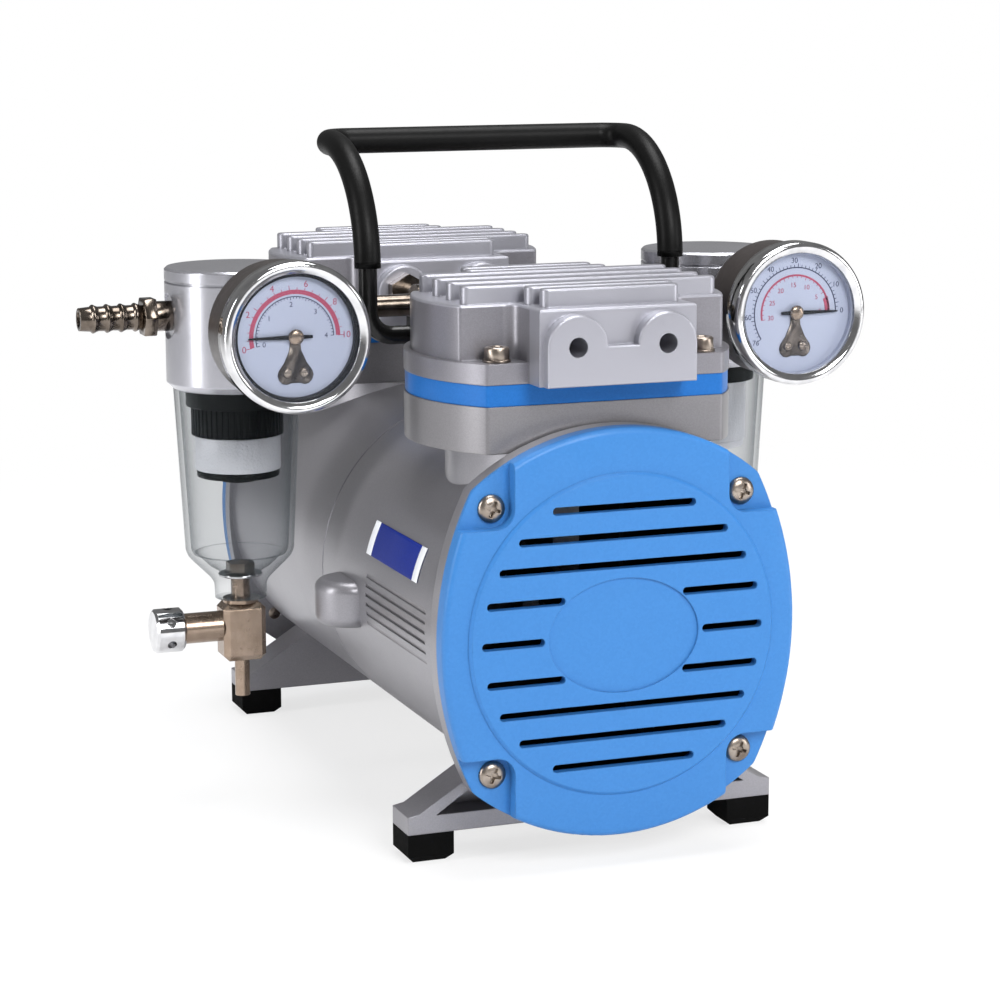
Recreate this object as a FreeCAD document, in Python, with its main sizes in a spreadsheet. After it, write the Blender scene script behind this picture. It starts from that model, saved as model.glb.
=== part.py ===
"""Twin-head oil-less vacuum pump with two filter and gauge units and a carry handle.

The pump lies along Y: the front cover faces -Y, the shaft axis runs along Y at axis_height, and the
two cylinder heads stand on top, one at each end. The origin is on the floor below the middle of the
pump. Front pieces are modelled once, and the rear ones are their mirror images; the same goes for
the left and the right filter units. Sizes are in millimetres.
"""
import FreeCAD, Part

import math
import os

import Sketcher

from FreeCAD import Rotation, Vector

DOC = FreeCAD.newDocument("vacuum_pump")
SHEET = DOC.addObject("Spreadsheet::Sheet", "Sheet")
NODES = []


class Size:
    """A length from the sheet: its number now and the expression that gives it."""

    def __init__(self, number, text):
        self.number = float(number)
        self.text = text

    def __add__(self, other):
        other = as_size(other)
        return Size(self.number + other.number, f"({self.text} + {other.text})")

    def __radd__(self, other):
        return as_size(other) + self

    def __sub__(self, other):
        other = as_size(other)
        return Size(self.number - other.number, f"({self.text} - {other.text})")

    def __rsub__(self, other):
        return as_size(other) - self

    def __mul__(self, other):
        other = as_size(other)
        return Size(self.number * other.number, f"({self.text} * {other.text})")

    def __rmul__(self, other):
        return as_size(other) * self

    def __truediv__(self, other):
        other = as_size(other)
        return Size(self.number / other.number, f"({self.text} / {other.text})")

    def __neg__(self):
        return Size(-self.number, f"(0 - {self.text})")


def as_size(thing):
    """A plain number as a Size."""
    if isinstance(thing, Size):
        return thing
    return Size(thing, f"{float(thing):.6f}")


def num(thing):
    """The number of a Size or of a plain number."""
    return as_size(thing).number


def root(size):
    """Square root of a Size."""
    return Size(math.sqrt(size.number), f"sqrt({size.text})")


def leg(long_side, short_side):
    """The other short side of a right triangle."""
    return root(long_side * long_side - short_side * short_side)


def size(alias, number, meaning):
    """Write one driving dimension into the sheet and return it."""
    row = size.rows = getattr(size, "rows", 0) + 1
    SHEET.set(f"A{row}", meaning)
    SHEET.set(f"B{row}", str(number))
    SHEET.setAlias(f"B{row}", alias)
    return Size(number, f"Sheet.{alias}")


def bind(thing, path, amount):
    """Tie a property of an object to a Size."""
    if isinstance(amount, Size):
        thing.setExpression(path, amount.text)


# Overall
HALF_LENGTH = size("half_length", 139.5, "middle of the pump to the face of a cover")
AXIS = size("axis_height", 80, "height of the shaft above the floor")
FOOT_HEIGHT = size("foot_height", 10.3, "height of a rubber foot")
THREAD_GAP = size("thread_gap", 0.05, "a screw in its hole, all round")
RUN_GAP = size("running_gap", 0.05, "a turning shaft in its hole, all round")

# Covers
CORNER_X = size("cover_corner_x", 51.5, "corner of the cover outline, sideways from the shaft")
CORNER_Z = size("cover_corner_z", 51, "corner of the cover outline, up from the shaft")
SIDE_ARC = size("cover_side_arc", 113, "radius of the cover's bulging sides")
TOP_ARC = size("cover_top_arc", 80, "radius of the cover's top and bottom")
CORNER_ROUND = size("cover_corner_round", 4, "rounding of the cover's corners")
COVER_DEPTH = size("cover_depth", 6.8, "thickness of the cover at its rim")
COVER_EDGE = size("cover_edge_round", 2.2, "rounding of the cover's front edge")
DISC_RADIUS = size("disc_radius", 55, "radius of the raised slotted disc")
DISC_RISE = size("disc_rise", 1.2, "rise of the slotted disc above the rim")
SLOT_WIDTH = size("slot_width", 2.7, "width of an air slot")
SLOT_CIRCLE = size("slot_circle", 50.6, "radius of the circle on which the slots end")
ROW_INNER = size("slot_row_inner", 13.3, "first slot rows from the middle row")
ROW_SECOND = size("slot_row_second", 24.2, "second slot rows from the middle row")
ROW_THIRD = size("slot_row_third", 33.9, "third slot rows from the middle row")
ROW_OUTER = size("slot_row_outer", 43.6, "outer slot rows from the middle row")
OVAL_WIDE = size("oval_half_width", 27, "half width of the bare oval field")
OVAL_TALL = size("oval_half_height", 19.5, "half height of the bare oval field")
OVAL_DEPTH = size("oval_depth", 0.8, "depth of the bare oval field")
OVAL_GAP = size("oval_gap", 2.8, "short slots to the edge of the oval")
BACK_RECESS = size("cover_recess_radius", 53, "radius of the hollow behind the slots")
SLOT_PLATE = size("slot_plate", 3.4, "thickness of the slotted plate")
SCREW_SQUARE = size("cover_screw_square", 90, "side of the square of cover screws")
SCREW_POCKET = size("screw_pocket_radius", 6.5, "radius of the pocket round a cover screw")
POCKET_DEPTH = size("screw_pocket_depth", 5.2, "depth of that pocket below the rim")
SCREW_SHANK = size("cover_screw_shank", 2.5, "radius of a cover screw's shank")
SCREW_HEAD = size("cover_screw_head", 4.75, "radius of a cover screw's head")
SCREW_HEAD_TALL = size("cover_screw_head_tall", 2.3, "height of a cover screw's head")

# Housing
HOUSING_RADIUS = size("housing_radius", 62, "outer radius of the round housing")
HOUSING_WALL = size("housing_wall", 4, "wall of the round housing")
FLANGE = size("flange_thickness", 6, "thickness of the housing's end flange")
SEAM_BEVEL = size("seam_bevel", 0.6, "bevel at the joint of the two halves")
SEAT_SINK = size("cylinder_seat_sink", 1, "top of the housing to the flat of a cylinder")
SEAT_HEIGHT = AXIS + HOUSING_RADIUS - SEAT_SINK
SEAT_NECK = size("cylinder_neck_radius", 42, "radius of the neck that carries a cylinder")
SEAT_CLEAR = size("cylinder_seat_clear", 0.6, "flat beyond the cylinder, lengthways")
WELL_END = size("cylinder_well_end", 20, "shaft to the end of the cylinder's well")
BULKHEAD_INSET = size("bulkhead_inset", 87.5, "face of a cover to the inner side of a bulkhead")
BULKHEAD_PLACE = HALF_LENGTH - BULKHEAD_INSET
BULKHEAD = size("bulkhead_thickness", 6, "thickness of the bulkhead")
FOOT_SIDE = size("foot_side", 16.4, "side of a square rubber foot")
FOOT_X = size("foot_x", 59.4, "middle of the pump to the middle of a foot, sideways")
FOOT_INSET = size("foot_inset", 35, "face of a cover to the middle of a foot")
FOOT_Y = HALF_LENGTH - FOOT_INSET
FOOT_BEVEL = size("foot_bevel", 2.4, "bevel round the bottom of a foot")
LEG_PLATE = size("leg_plate", 6.2, "thickness of the casting above a foot")
LEG_RISE_X = size("leg_rise_x", 38, "where the leg's slope meets the housing, sideways")
LEG_RISE_Z = size("leg_rise_z", 33.4, "where the leg's slope meets the housing, height")
LEG_RIB = size("leg_rib", 4, "thickness of the slope above the leg's pocket")
LEG_WEB = size("leg_web", 5, "thickness of the web behind the leg's pocket")
LEG_LIP = size("leg_lip", 4, "width of a leg's top beyond its slope")
LEG_LIP_RISE = size("leg_lip_rise", 0.8, "rise of that top towards the slope")
LEG_CORE = size("leg_core", 8, "how far the leg's pocket runs under the housing")
LOUVRE_LENGTH = size("louvre_length", 64, "length of a louvre groove")
LOUVRE_INSET = size("louvre_inset", 24.5, "face of the cover to the louvre grooves")
LOUVRE_START = HALF_LENGTH - LOUVRE_INSET - LOUVRE_LENGTH
LOUVRE_WIDTH = size("louvre_width", 1.2, "width of a louvre groove")
LOUVRE_DEPTH = size("louvre_depth", 0.9, "depth of a louvre groove")
LOUVRE_LOW = size("louvre_low", 70, "height of the lowest louvre groove")
LOUVRE_STEP = size("louvre_step", 3.4, "spacing of the louvre grooves")
LOUVRE_COUNT = 6
BOSS_RADIUS = size("side_boss_radius", 13, "radius of the half-round boss on the left side")
BOSS_Y = size("side_boss_y", 30, "middle of the pump to the middle of that boss")
BOSS_LOW = size("side_boss_low", 66, "height of its lower face")
BOSS_TALL = size("side_boss_tall", 17, "its height")
BOSS_SINK = size("side_boss_sink", 1, "how far it starts inside the housing's skin")

# Cylinders and heads
HEAD_INSET = size("head_inset", 52.2, "face of a cover to the axis of a cylinder")
HEAD_Y = HALF_LENGTH - HEAD_INSET
HEAD_RADIUS = size("head_radius", 56, "radius of a head's round sides")
HEAD_FLAT = size("head_flat", 36.6, "axis of a cylinder to the head's flat faces")
CYLINDER_TALL = size("cylinder_tall", 15.7, "height of the cylinder above its seat")
SPIGOT_RADIUS = size("spigot_radius", 27, "radius of the cylinder's spigot in the housing")
SPIGOT_DEPTH = size("spigot_depth", 16, "depth of that spigot")
SPIGOT_GAP = size("spigot_gap", 0.2, "clearance round the spigot")
PLATE_TALL = size("valve_plate_tall", 7.3, "thickness of the valve plate")
PLATE_INSET = size("valve_plate_inset", 0.4, "inset of the valve plate from the cylinder")
HEAD_FLANGE = size("head_flange", 7, "thickness of the head's flange")
CORNER_SOFT = size("cylinder_corner_round", 2.4, "rounding of the cylinder's corners")
HEAD_TALL = size("head_tall", 25.4, "height of the head below its ribs")
DRUM_RADIUS = size("head_drum_radius", 53.6, "radius of the head above its flange")
DRUM_SOFT = size("head_drum_round", 1.5, "rounding of its upright edges")
TOP_SOFT = size("head_top_round", 1, "rounding of the head's top edge")
NOTCH_Y = size("notch_y", 24.5, "back wall of a screw notch, from the cylinder's axis")
NOTCH_ROUND = size("notch_round", 5, "rounding between that wall and the port block")
RIB_TALL = size("rib_tall", 6, "height of a rib on the head")
RIB_WIDTH = size("rib_width", 5.5, "width of a rib")
RIB_STEP = size("rib_step", 13.6, "spacing of the four long ribs")
RIB_HALF = size("rib_half_length", 46, "half length of a long rib")
SHORT_Y = size("short_rib_y", 29, "cylinder's axis to a short rib")
SHORT_HALF = size("short_rib_half_length", 26.5, "half length of a short rib")
BLOCK_Y = size("block_rib_y", 38, "cylinder's axis to the rib on a port block")
BLOCK_HALF = size("block_rib_half_length", 24.5, "half length of that rib")
RIB_ROUND = size("rib_round", 2.4, "rounding of the ribs' ends")
RIB_SOFT = size("rib_top_round", 0.8, "rounding of the ribs' top edges")
PORT_HALF = size("port_half_width", 28, "half width of a port block")
PORT_REACH = size("port_reach", 13.8, "how far the port bosses stand out of the flat")
PORT_PAD = size("port_pad", 4.2, "how far they stand out of the port block")
PAD_SOFT = size("port_pad_round", 0.7, "rounding of their front edges")
PORT_X = size("port_x", 16, "axis of a port, sideways")
PORT_RISE = size("port_rise", 36, "seat of the cylinder to the axis of a port")
PORT_HEIGHT = SEAT_HEIGHT + PORT_RISE
PORT_RADIUS = size("port_radius", 3.3, "radius of a port")
PORT_DEPTH = size("port_depth", 14, "depth of a port")
PORT_BOSS = size("port_boss_radius", 10.6, "radius of the round boss at a port")
HEAD_SCREW_X = size("head_screw_x", 37, "a head screw, sideways")
HEAD_SCREW_Y = size("head_screw_y", 30.5, "a head screw, lengthways from the cylinder's axis")
HEAD_SCREW_SHANK = size("head_screw_shank", 2.5, "radius of a head screw's shank")
HEAD_SCREW_HEAD = size("head_screw_head", 4.4, "radius of a head screw's head")
HEAD_SCREW_TALL = size("head_screw_tall", 5, "height of a head screw's head")
SCREW_STOP = size("head_screw_stop", 4, "seat of the cylinder to a head screw's end")
SCREW_SPARE = size("head_screw_spare", 1, "hole beyond that end")
FLOW_X = size("flow_hole_x", 12, "a flow hole of the valve plate, sideways")
FLOW_RADIUS = size("flow_hole_radius", 3, "radius of a flow hole")

# Crank and motor
THROW = size("crank_throw", 5.5, "offset of the eccentric from the shaft")
CUP_GAP = size("piston_side_gap", 0.4, "cup seal to the bore at full side travel")
BORE = size("cylinder_bore", 23.5, "radius of the cylinder's bore")
SHAFT_THICK = size("shaft_radius", 7, "radius of the shaft in its bearings")
SHAFT_THIN = size("shaft_end_radius", 5, "radius of the shaft's ends")
SHAFT_INSET = size("shaft_inset", 12.5, "face of a cover to the end of the shaft")
SHAFT_HALF = HALF_LENGTH - SHAFT_INSET
BEARING_RADIUS = size("bearing_radius", 14, "outer radius of a main bearing")
BEARING_WIDTH = size("bearing_width", 9, "width of a main bearing")
ROTOR_RADIUS = size("rotor_radius", 27, "radius of the rotor core")
CORE_SPACE = size("core_space", 22, "end of the stator core to the bulkhead")
CORE_HALF = BULKHEAD_PLACE - CORE_SPACE
AIR_GAP = size("air_gap", 0.5, "gap between the rotor and the stator")
WINDING_REACH = size("winding_reach", 15, "how far a winding stands out of the stator")
WINDING_GAP = size("winding_gap", 3, "rotor's hole in the stator to a winding")
WINDING_INSET = size("winding_inset", 8, "housing's bore to a winding")
WINDING_SLOPE = size("winding_slope", 5, "bevel at a winding's outer end")
ECCENTRIC_RADIUS = size("eccentric_radius", 12.5, "radius of the eccentric")
ECCENTRIC_WIDTH = size("eccentric_width", 13, "width of the eccentric")
WEIGHT_RADIUS = size("counterweight_radius", 27, "radius of the counterweight")
WEIGHT_WIDTH = size("counterweight_width", 7, "width of the counterweight")
WEIGHT_STEP = size("counterweight_step", 2, "shaft to the straight edge of the counterweight")
ROD_RING = size("rod_ring_wall", 6, "wall of the rod's big end")
ROD_WIDTH = size("rod_width", 11, "width of the rod along the shaft")
ROD_SHANK = size("rod_shank", 7, "half width of the rod's shank")
TOP_GAP = size("piston_top_gap", 1.2, "piston to the valve plate at top dead centre")
PISTON_TALL = size("piston_tall", 5.5, "height of the piston's lower disc")
CAP_TALL = size("piston_cap_tall", 2.8, "height of the piston's clamping cap")
CUP_WALL = size("cup_wall", 1.2, "thickness of the cup seal")
FAN_GAP = size("fan_gap", 1.5, "cooling fan to the end of a cylinder's spigot")
FAN_RADIUS = SEAT_HEIGHT - SPIGOT_DEPTH - AXIS - FAN_GAP
FAN_HUB = size("fan_hub_radius", 12, "radius of a fan's hub")
FAN_INSET = size("fan_inset", 26.5, "face of a cover to the inner end of a fan's hub")
FAN_PLACE = HALF_LENGTH - FAN_INSET
FAN_WIDTH = size("fan_width", 12, "width of a fan along the shaft")
BLADE_THICK = size("fan_blade_thickness", 2, "thickness of a fan blade")
BLADE_ROOT = size("fan_blade_root", 1, "how far a blade starts inside the hub")

# Carry handle
ROD_RADIUS = size("handle_rod_radius", 3.3, "radius of the handle's bare rod")
SLEEVE_RADIUS = size("handle_sleeve_radius", 4.65, "outer radius of the handle's sleeve")
HANDLE_X = size("handle_x", 57.8, "middle of the pump to a leg of the handle")
HANDLE_BEHIND = size("handle_behind", 5.4, "back of the front cylinder to a leg of the handle")
HANDLE_Y = HEAD_FLAT + HANDLE_BEHIND - HEAD_Y
HANDLE_RISE = size("handle_rise", 31, "seat of the cylinder to the handle's turned-in ends")
HANDLE_FOOT = SEAT_HEIGHT + HANDLE_RISE
HANDLE_BEND_Z = size("handle_bend_z", 196, "height at which the legs start to curve back")
HANDLE_SWEEP = size("handle_sweep", 41.4, "radius of that curve")
HANDLE_CORNER = size("handle_corner", 9, "radius of the handle's corners")
SLEEVE_END = size("handle_sleeve_z", 198, "height at which the sleeve ends")
CLAMP_X = size("handle_clamp_x", 33, "middle of the pump to the inner end of a clamp")
CLAMP_TALL = size("handle_clamp_half_tall", 6, "half height of a handle clamp")
CLAMP_LONG = size("handle_clamp_length", 9, "width of a handle clamp, sideways")
CLAMP_WALL = size("handle_clamp_wall", 1.6, "wall of a clamp behind the rod")

# Filter units
FILTER_X = size("filter_x", 93.6, "middle of the pump to the axis of a filter")
FILTER_RADIUS = size("filter_head_radius", 25.2, "radius of a filter's head")
FILTER_TOP = size("filter_head_top", 194.1, "height of the filter head's top")
FILTER_LOW = size("filter_head_low", 150.3, "height of the filter head's lower edge")
FILTER_RIM = size("filter_head_rim", 4.6, "height of the raised cap on the filter head")
RIM_GROOVE = size("filter_rim_groove", 0.8, "depth of the groove below that cap")
FILTER_BEVEL = size("filter_head_bevel", 2.4, "bevel at the filter head's lower edge")
FILTER_SEAT = size("filter_seat", 24, "filter axis to the flats at its fittings")
SEAT_RADIUS = size("filter_seat_radius", 8.2, "radius of such a flat")
SPIGOT_FIT = size("fitting_thread_radius", 4.5, "radius of a fitting's thread in the filter head")
SPIGOT_LONG = size("fitting_thread_length", 8, "length of that thread")
CHANNEL = size("air_channel_radius", 2.5, "radius of the air channels")
CAVITY_TOP = size("filter_cavity_top", 168, "height of the top of the filter head's hollow")
COLLAR_RADIUS = size("bowl_collar_radius", 22, "radius of the bowl's threaded collar")
COLLAR_TOP = size("bowl_collar_top", 160, "height of the top of that collar")
COLLAR_SPARE = size("bowl_collar_spare", 1, "thread beyond that collar")
BOWL_TOP_RADIUS = size("bowl_top_radius", 22.9, "radius of the bowl at its top")
BOWL_LOW_RADIUS = size("bowl_low_radius", 19.9, "radius of the bowl above its dome")
BOWL_TAPER_END = size("bowl_taper_end", 90.4, "height at which the bowl's dome starts")
BOWL_WALL = size("bowl_wall", 2.2, "wall of the bowl")
DOME_RADIUS = size("bowl_dome_radius", 12.8, "radius of the bowl's dome")
NECK_RADIUS = size("bowl_neck_radius", 9.5, "radius of the bowl's neck")
NECK_TOP = size("bowl_neck_top", 78, "height at which the dome meets the neck")
NECK_LOW = size("bowl_neck_low", 72, "height of the neck's lower face")
HOLDER_RADIUS = size("holder_radius", 18.5, "radius of the element holder's upper ring")
HOLDER_TOP = size("holder_top", 156, "height of the holder's top")
HOLDER_STEP = size("holder_step", 143.6, "height of the step below that ring")
KNURL_RADIUS = size("holder_grip_radius", 16.7, "radius of the holder's knurled grip")
ELEMENT_TOP = size("element_top", 133, "height of the element's top")
ELEMENT_RADIUS = size("element_radius", 15.6, "radius of the filter element")
ELEMENT_HOLE = size("element_hole", 7, "radius of the hole in the element")
ELEMENT_LOW = size("element_low", 120.2, "height of the element's lower face")
BAFFLE_RADIUS = size("baffle_radius", 15, "radius of the baffle disc")
BAFFLE_LOW = size("baffle_low", 117.6, "height of the baffle's lower face")
BAFFLE_BOSS = size("baffle_boss_radius", 7, "radius of the boss under the baffle")
BAFFLE_END = size("baffle_boss_low", 115.7, "height of that boss's lower face")
DRAIN_HALF = size("drain_half_width", 8, "half width of the drain valve's body")
DRAIN_DEEP = size("drain_half_depth", 6.6, "half depth of the drain valve's body")
DRAIN_BEVEL = size("drain_bevel", 2, "bevel at the drain body's corners")
DRAIN_TOP = size("drain_top", 70.4, "height of the drain body's top")
DRAIN_LOW = size("drain_low", 49, "height of the drain body's lower face")
DRAIN_AXIS = size("drain_axis", 61.7, "height of the drain knob's axis")
DRAIN_STUD = size("drain_stud_radius", 3.4, "radius of the stud through the bowl's neck")
DRAIN_NUT = size("drain_nut_radius", 4.7, "half width of the nut inside the bowl")
DRAIN_NUT_TALL = size("drain_nut_tall", 5, "height of that nut")
NUT_SEAT = size("drain_nut_seat", 6, "radius of the flat inside the bowl on which it sits")
DRAIN_BARB = size("drain_barb_radius", 2.75, "radius of the drain's outlet")
DRAIN_BARB_LOW = size("drain_barb_low", 35, "height of the drain outlet's end")
DRAIN_BORE = size("drain_bore", 1.5, "radius of the bore through the drain valve")
STEM_RADIUS = size("drain_stem_radius", 5.6, "radius of the drain's side boss")
STEM_END = size("drain_stem_end", 22, "filter axis to the end of that boss")
KNOB_RADIUS = size("knob_radius", 8.1, "radius of the drain knob")
KNOB_GAP = size("knob_gap", 0.5, "drain knob to the end of the side boss")
KNOB_END = size("knob_end", 33.3, "filter axis to the outer face of the knob")
KNOB_HOLE = size("knob_hole_radius", 1.7, "radius of the blind holes round the knob")
KNOB_SPINDLE = size("knob_spindle_radius", 2.5, "radius of the knob's spindle")
SPINDLE_START = size("knob_spindle_start", 10, "filter axis to the inner end of the spindle")
BARB_NECK = size("hose_barb_neck", 5.4, "radius of the barb between head and hexagon")
BARB_START = size("hose_barb_collar", 34.5, "filter axis to the outer face of the barb's hexagon")
BARB_END = size("hose_barb_end", 57.3, "filter axis to the tip of the hose barb")
BARB_CREST = size("hose_barb_crest", 5.2, "radius of the hose barb's crests")
BARB_ROOT = size("hose_barb_root", 4.1, "radius between the crests")
BARB_BORE = size("hose_barb_bore", 2.7, "radius of the hose barb's bore")
BARB_COUNT = 4
HEX_FLATS = size("hexagon_half_flats", 6.9, "half the width across a hexagon's flats")
HEX_WIDTH = size("hexagon_width", 4.7, "thickness of a hexagon")
PIPE_RADIUS = size("pipe_radius", 4.1, "radius of the pipes between heads and filters")
PIPE_THREAD = size("pipe_thread_length", 9, "length of a pipe's end in a port")
TEE_RADIUS = size("tee_radius", 7.5, "radius of the tee between the heads")
TEE_HALF = size("tee_half_length", 9, "half length of that tee")

# Gauges
GAUGE_FACE = size("gauge_face", 80.8, "filter axis to the front of the gauge's bezel")
BEZEL_RADIUS = size("bezel_radius", 25.8, "radius of the gauge's bezel")
BEZEL_WIDTH = size("bezel_width", 8.5, "width of the bezel's band")
BEZEL_OPENING = size("bezel_opening", 21.6, "radius of the bezel's opening")
BEZEL_LIP = size("bezel_lip", 1.4, "thickness of the bezel's front lip")
CASE_RADIUS = size("gauge_case_radius", 24.4, "radius of the gauge's case")
CASE_DEPTH = size("gauge_case_depth", 30, "front of the bezel to the back of the case")
CASE_WALL = size("gauge_case_wall", 1.6, "wall of the gauge's case")
CASE_ROUND = size("gauge_case_round", 4, "rounding of the case's back edge")
DIAL_DEPTH = size("dial_depth", 5.2, "front of the bezel to the face of the dial")
DIAL_THICK = size("dial_thickness", 0.8, "thickness of the dial")
DIAL_SHELF = size("dial_shelf", 1, "width of the shelf that carries the dial")
DIAL_HOLE = size("dial_hole", 1.6, "radius of the hole in the dial")
GLASS_THICK = size("glass_thickness", 1.2, "thickness of the glass")
GLASS_GAP = size("glass_gap", 0.2, "glass to the bezel, all round")
MOVEMENT_RADIUS = size("movement_radius", 9, "radius of the gauge's movement")
MOVEMENT_GAP = size("movement_gap", 1.5, "movement to the dial")
POINTER_GAP = size("pointer_gap", 0.8, "pointer to the dial")
POINTER_THICK = size("pointer_thickness", 0.5, "thickness of the pointer")
POINTER_LENGTH = size("pointer_length", 16.5, "hub to the tip of the pointer")
POINTER_TAIL = size("pointer_tail", 6, "hub to the end of the pointer's tail")
POINTER_WIDE = size("pointer_half_width", 1.1, "half width of the pointer at its hub")
POINTER_TIP = size("pointer_tip", 0.3, "half width of the pointer's tip")
POINTER_HUB = size("pointer_hub_radius", 2, "radius of the pointer's hub")
HUB_TALL = size("pointer_hub_tall", 1.3, "height of the pointer's hub")
SPINDLE_RADIUS = size("pointer_spindle_radius", 0.9, "radius of the pointer's spindle")
SPINDLE_LENGTH = size("pointer_spindle_length", 7, "length of the pointer's spindle")
STEM_GAUGE = size("gauge_stem_radius", 5, "radius of the gauge's stem")

# Terminal box on the right side of the rear half
BOX_Y = size("box_y", 45, "middle of the pump to the middle of the terminal box")
BOX_HALF_LONG = size("box_half_length", 26, "half length of the terminal box")
BOX_HALF_TALL = size("box_half_height", 17, "half height of the terminal box")
BOX_PROUD = size("box_proud", 14, "how far the terminal box stands out of the housing")
BOX_FACE = HOUSING_RADIUS + BOX_PROUD
BOX_START = size("box_start", 15.5, "how far the box reaches down beside the housing")
BOX_WALL = size("box_wall", 2.4, "wall of the terminal box")
BOX_ROUND = size("box_round", 2.5, "rounding of the terminal box's edges")
ROCKER_Y = size("rocker_y", 33, "middle of the pump to the middle of the rocker")
ROCKER_RADIUS = size("rocker_radius", 9.5, "radius of the switch rocker about its pivot")
ROCKER_HALF = size("rocker_half_width", 5.5, "half width of the switch rocker")
ROCKER_SUNK = size("rocker_sunk", 6, "face of the box to the rocker's pivot")
ROCKER_PIVOT = BOX_FACE - ROCKER_SUNK
ROCKER_RISE = size("rocker_rise", 7.2, "pivot to the ends of the rocker's face")
ROCKER_DIP = size("rocker_dip", 6.4, "pivot to the middle of the rocker's face")
ROCKER_BACK = size("rocker_back", 2, "pivot to the rocker's back")
ROCKER_GAP = size("rocker_gap", 0.4, "clearance round the rocker")
ROCKER_PIN = size("rocker_pin", 1.2, "radius of the rocker's pins")
ROCKER_TILT = size("rocker_tilt", 7, "lean of the rocker at rest, in degrees")
EAR = size("switch_ear", 1.8, "thickness of the ears that hold the rocker")
GLAND_SUNK = size("gland_sunk", 6.8, "face of the box to the axis of the cord gland")
GLAND_X = BOX_FACE - GLAND_SUNK
GLAND_RADIUS = size("gland_radius", 6.4, "radius of the cord gland")
GLAND_BORE = size("gland_bore", 3.6, "radius of the gland's hole")
GLAND_THREAD = size("gland_thread", 4.6, "radius of the gland's thread in the box")
GLAND_REACH = size("gland_reach", 17, "how far the gland stands out of the box")

DOC.recompute()

PLANES = {"XY": "XY_Plane", "XZ": "XZ_Plane", "YZ": "YZ_Plane"}
AXES = {"X": "X_Axis", "Y": "Y_Axis", "Z": "Z_Axis"}
ALONG = {"X": Vector(1, 0, 0), "Y": Vector(0, 1, 0), "Z": Vector(0, 0, 1)}


def origin_part(body, role):
    """A plane or an axis of a body's own origin."""
    return next(item for item in body.Origin.OriginFeatures if item.Role == role)


class Sketch:
    """A sketch on a plane of its own body, with every corner placed from the sheet.

    On XY the sketch runs along X and Y, on XZ along X and Z, and on YZ along Y and Z.
    The plane can be set off along its normal, which is +Z, -Y and +X.
    """

    def __init__(self, body, plane, offset=0.0):
        self.item = body.newObject("Sketcher::SketchObject", f"{body.Name}_sketch")
        self.item.AttachmentSupport = [(origin_part(body, PLANES[plane]), "")]
        self.item.MapMode = "FlatFace"
        self.item.AttachmentOffset = FreeCAD.Placement(Vector(0, 0, num(offset)), Rotation())
        bind(self.item, "AttachmentOffset.Base.z", offset)

    def fix(self, kind, amount, *where):
        """Add one dimension and tie it to the sheet."""
        index = self.item.addConstraint(Sketcher.Constraint(kind, *where, num(amount)))
        bind(self.item, f"Constraints[{index}]", amount)

    def place(self, geometry, point, x, y):
        """Fix a point of a piece of geometry from the sketch's origin."""
        self.fix("DistanceX", x, -1, 1, geometry, point)
        self.fix("DistanceY", y, -1, 1, geometry, point)

    def circle(self, x, y, radius):
        """Add a circle."""
        ring = Part.Circle(Vector(num(x), num(y), 0), Vector(0, 0, 1), num(radius))
        index = self.item.addGeometry(ring, False)
        self.place(index, 3, x, y)
        self.fix("Radius", radius, index)
        return self

    def loop(self, *corners):
        """Add a closed outline.

        Each corner is (x, y), or (x, y, radius, turn) where an arc of that radius leads to it
        from the corner before; turn is 1 for an arc that turns left and -1 for one that turns right.
        """
        ends = []
        count = len(corners)
        first = self.item.GeometryCount
        for index, corner in enumerate(corners):
            before = corners[index - 1]
            start = Vector(num(before[0]), num(before[1]), 0)
            end = Vector(num(corner[0]), num(corner[1]), 0)
            if len(corner) == 2:
                self.item.addGeometry(Part.LineSegment(start, end), False)
                ends.append((1, 2))
                continue
            radius, turn = corner[2], corner[3]
            chord = end - start
            middle = (start + end) * 0.5
            left = Vector(-chord.y, chord.x, 0).normalize()
            rise = math.sqrt(max(num(radius) ** 2 - (chord.Length / 2) ** 2, 0))
            centre = middle + left * (rise * turn)
            whole = Part.Circle(centre, Vector(0, 0, 1), num(radius))
            low, high = (start, end) if turn > 0 else (end, start)
            arc = Part.ArcOfCircle(whole, whole.parameter(low), whole.parameter(high))
            self.item.addGeometry(arc, False)
            ends.append((1, 2) if turn > 0 else (2, 1))
        for index in range(count):
            after = (index + 1) % count
            self.item.addConstraint(Sketcher.Constraint(
                "Coincident", first + index, ends[index][1], first + after, ends[after][0]))
            self.place(first + index, ends[index][1], corners[index][0], corners[index][1])
            if len(corners[index]) == 4:
                self.fix("Radius", corners[index][2], first + index)
        return self

    def box(self, left, low, right, high):
        """Add a rectangle."""
        return self.loop((left, low), (right, low), (right, high), (left, high))

    def slot(self, left, right, y, width):
        """Add a slot with round ends that lies along the sketch's first direction."""
        half = num(width) / 2
        near = Vector(num(left), num(y), 0)
        far = Vector(num(right), num(y), 0)
        up = Vector(0, half, 0)
        normal = Vector(0, 0, 1)
        quarter = math.pi / 2
        low = self.item.addGeometry(Part.LineSegment(near - up, far - up), False)
        nose = self.item.addGeometry(
            Part.ArcOfCircle(Part.Circle(far, normal, half), -quarter, quarter), False)
        top = self.item.addGeometry(Part.LineSegment(far + up, near + up), False)
        tail = self.item.addGeometry(
            Part.ArcOfCircle(Part.Circle(near, normal, half), quarter, 3 * quarter), False)
        for one, two in ((low, nose), (nose, top), (top, tail), (tail, low)):
            self.item.addConstraint(Sketcher.Constraint("Tangent", one, 2, two, 1))
        self.item.addConstraint(Sketcher.Constraint("Equal", nose, tail))
        self.place(nose, 3, right, y)
        self.fix("DistanceX", left, -1, 1, tail, 3)
        self.fix("Radius", width / 2, nose)
        return self


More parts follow.
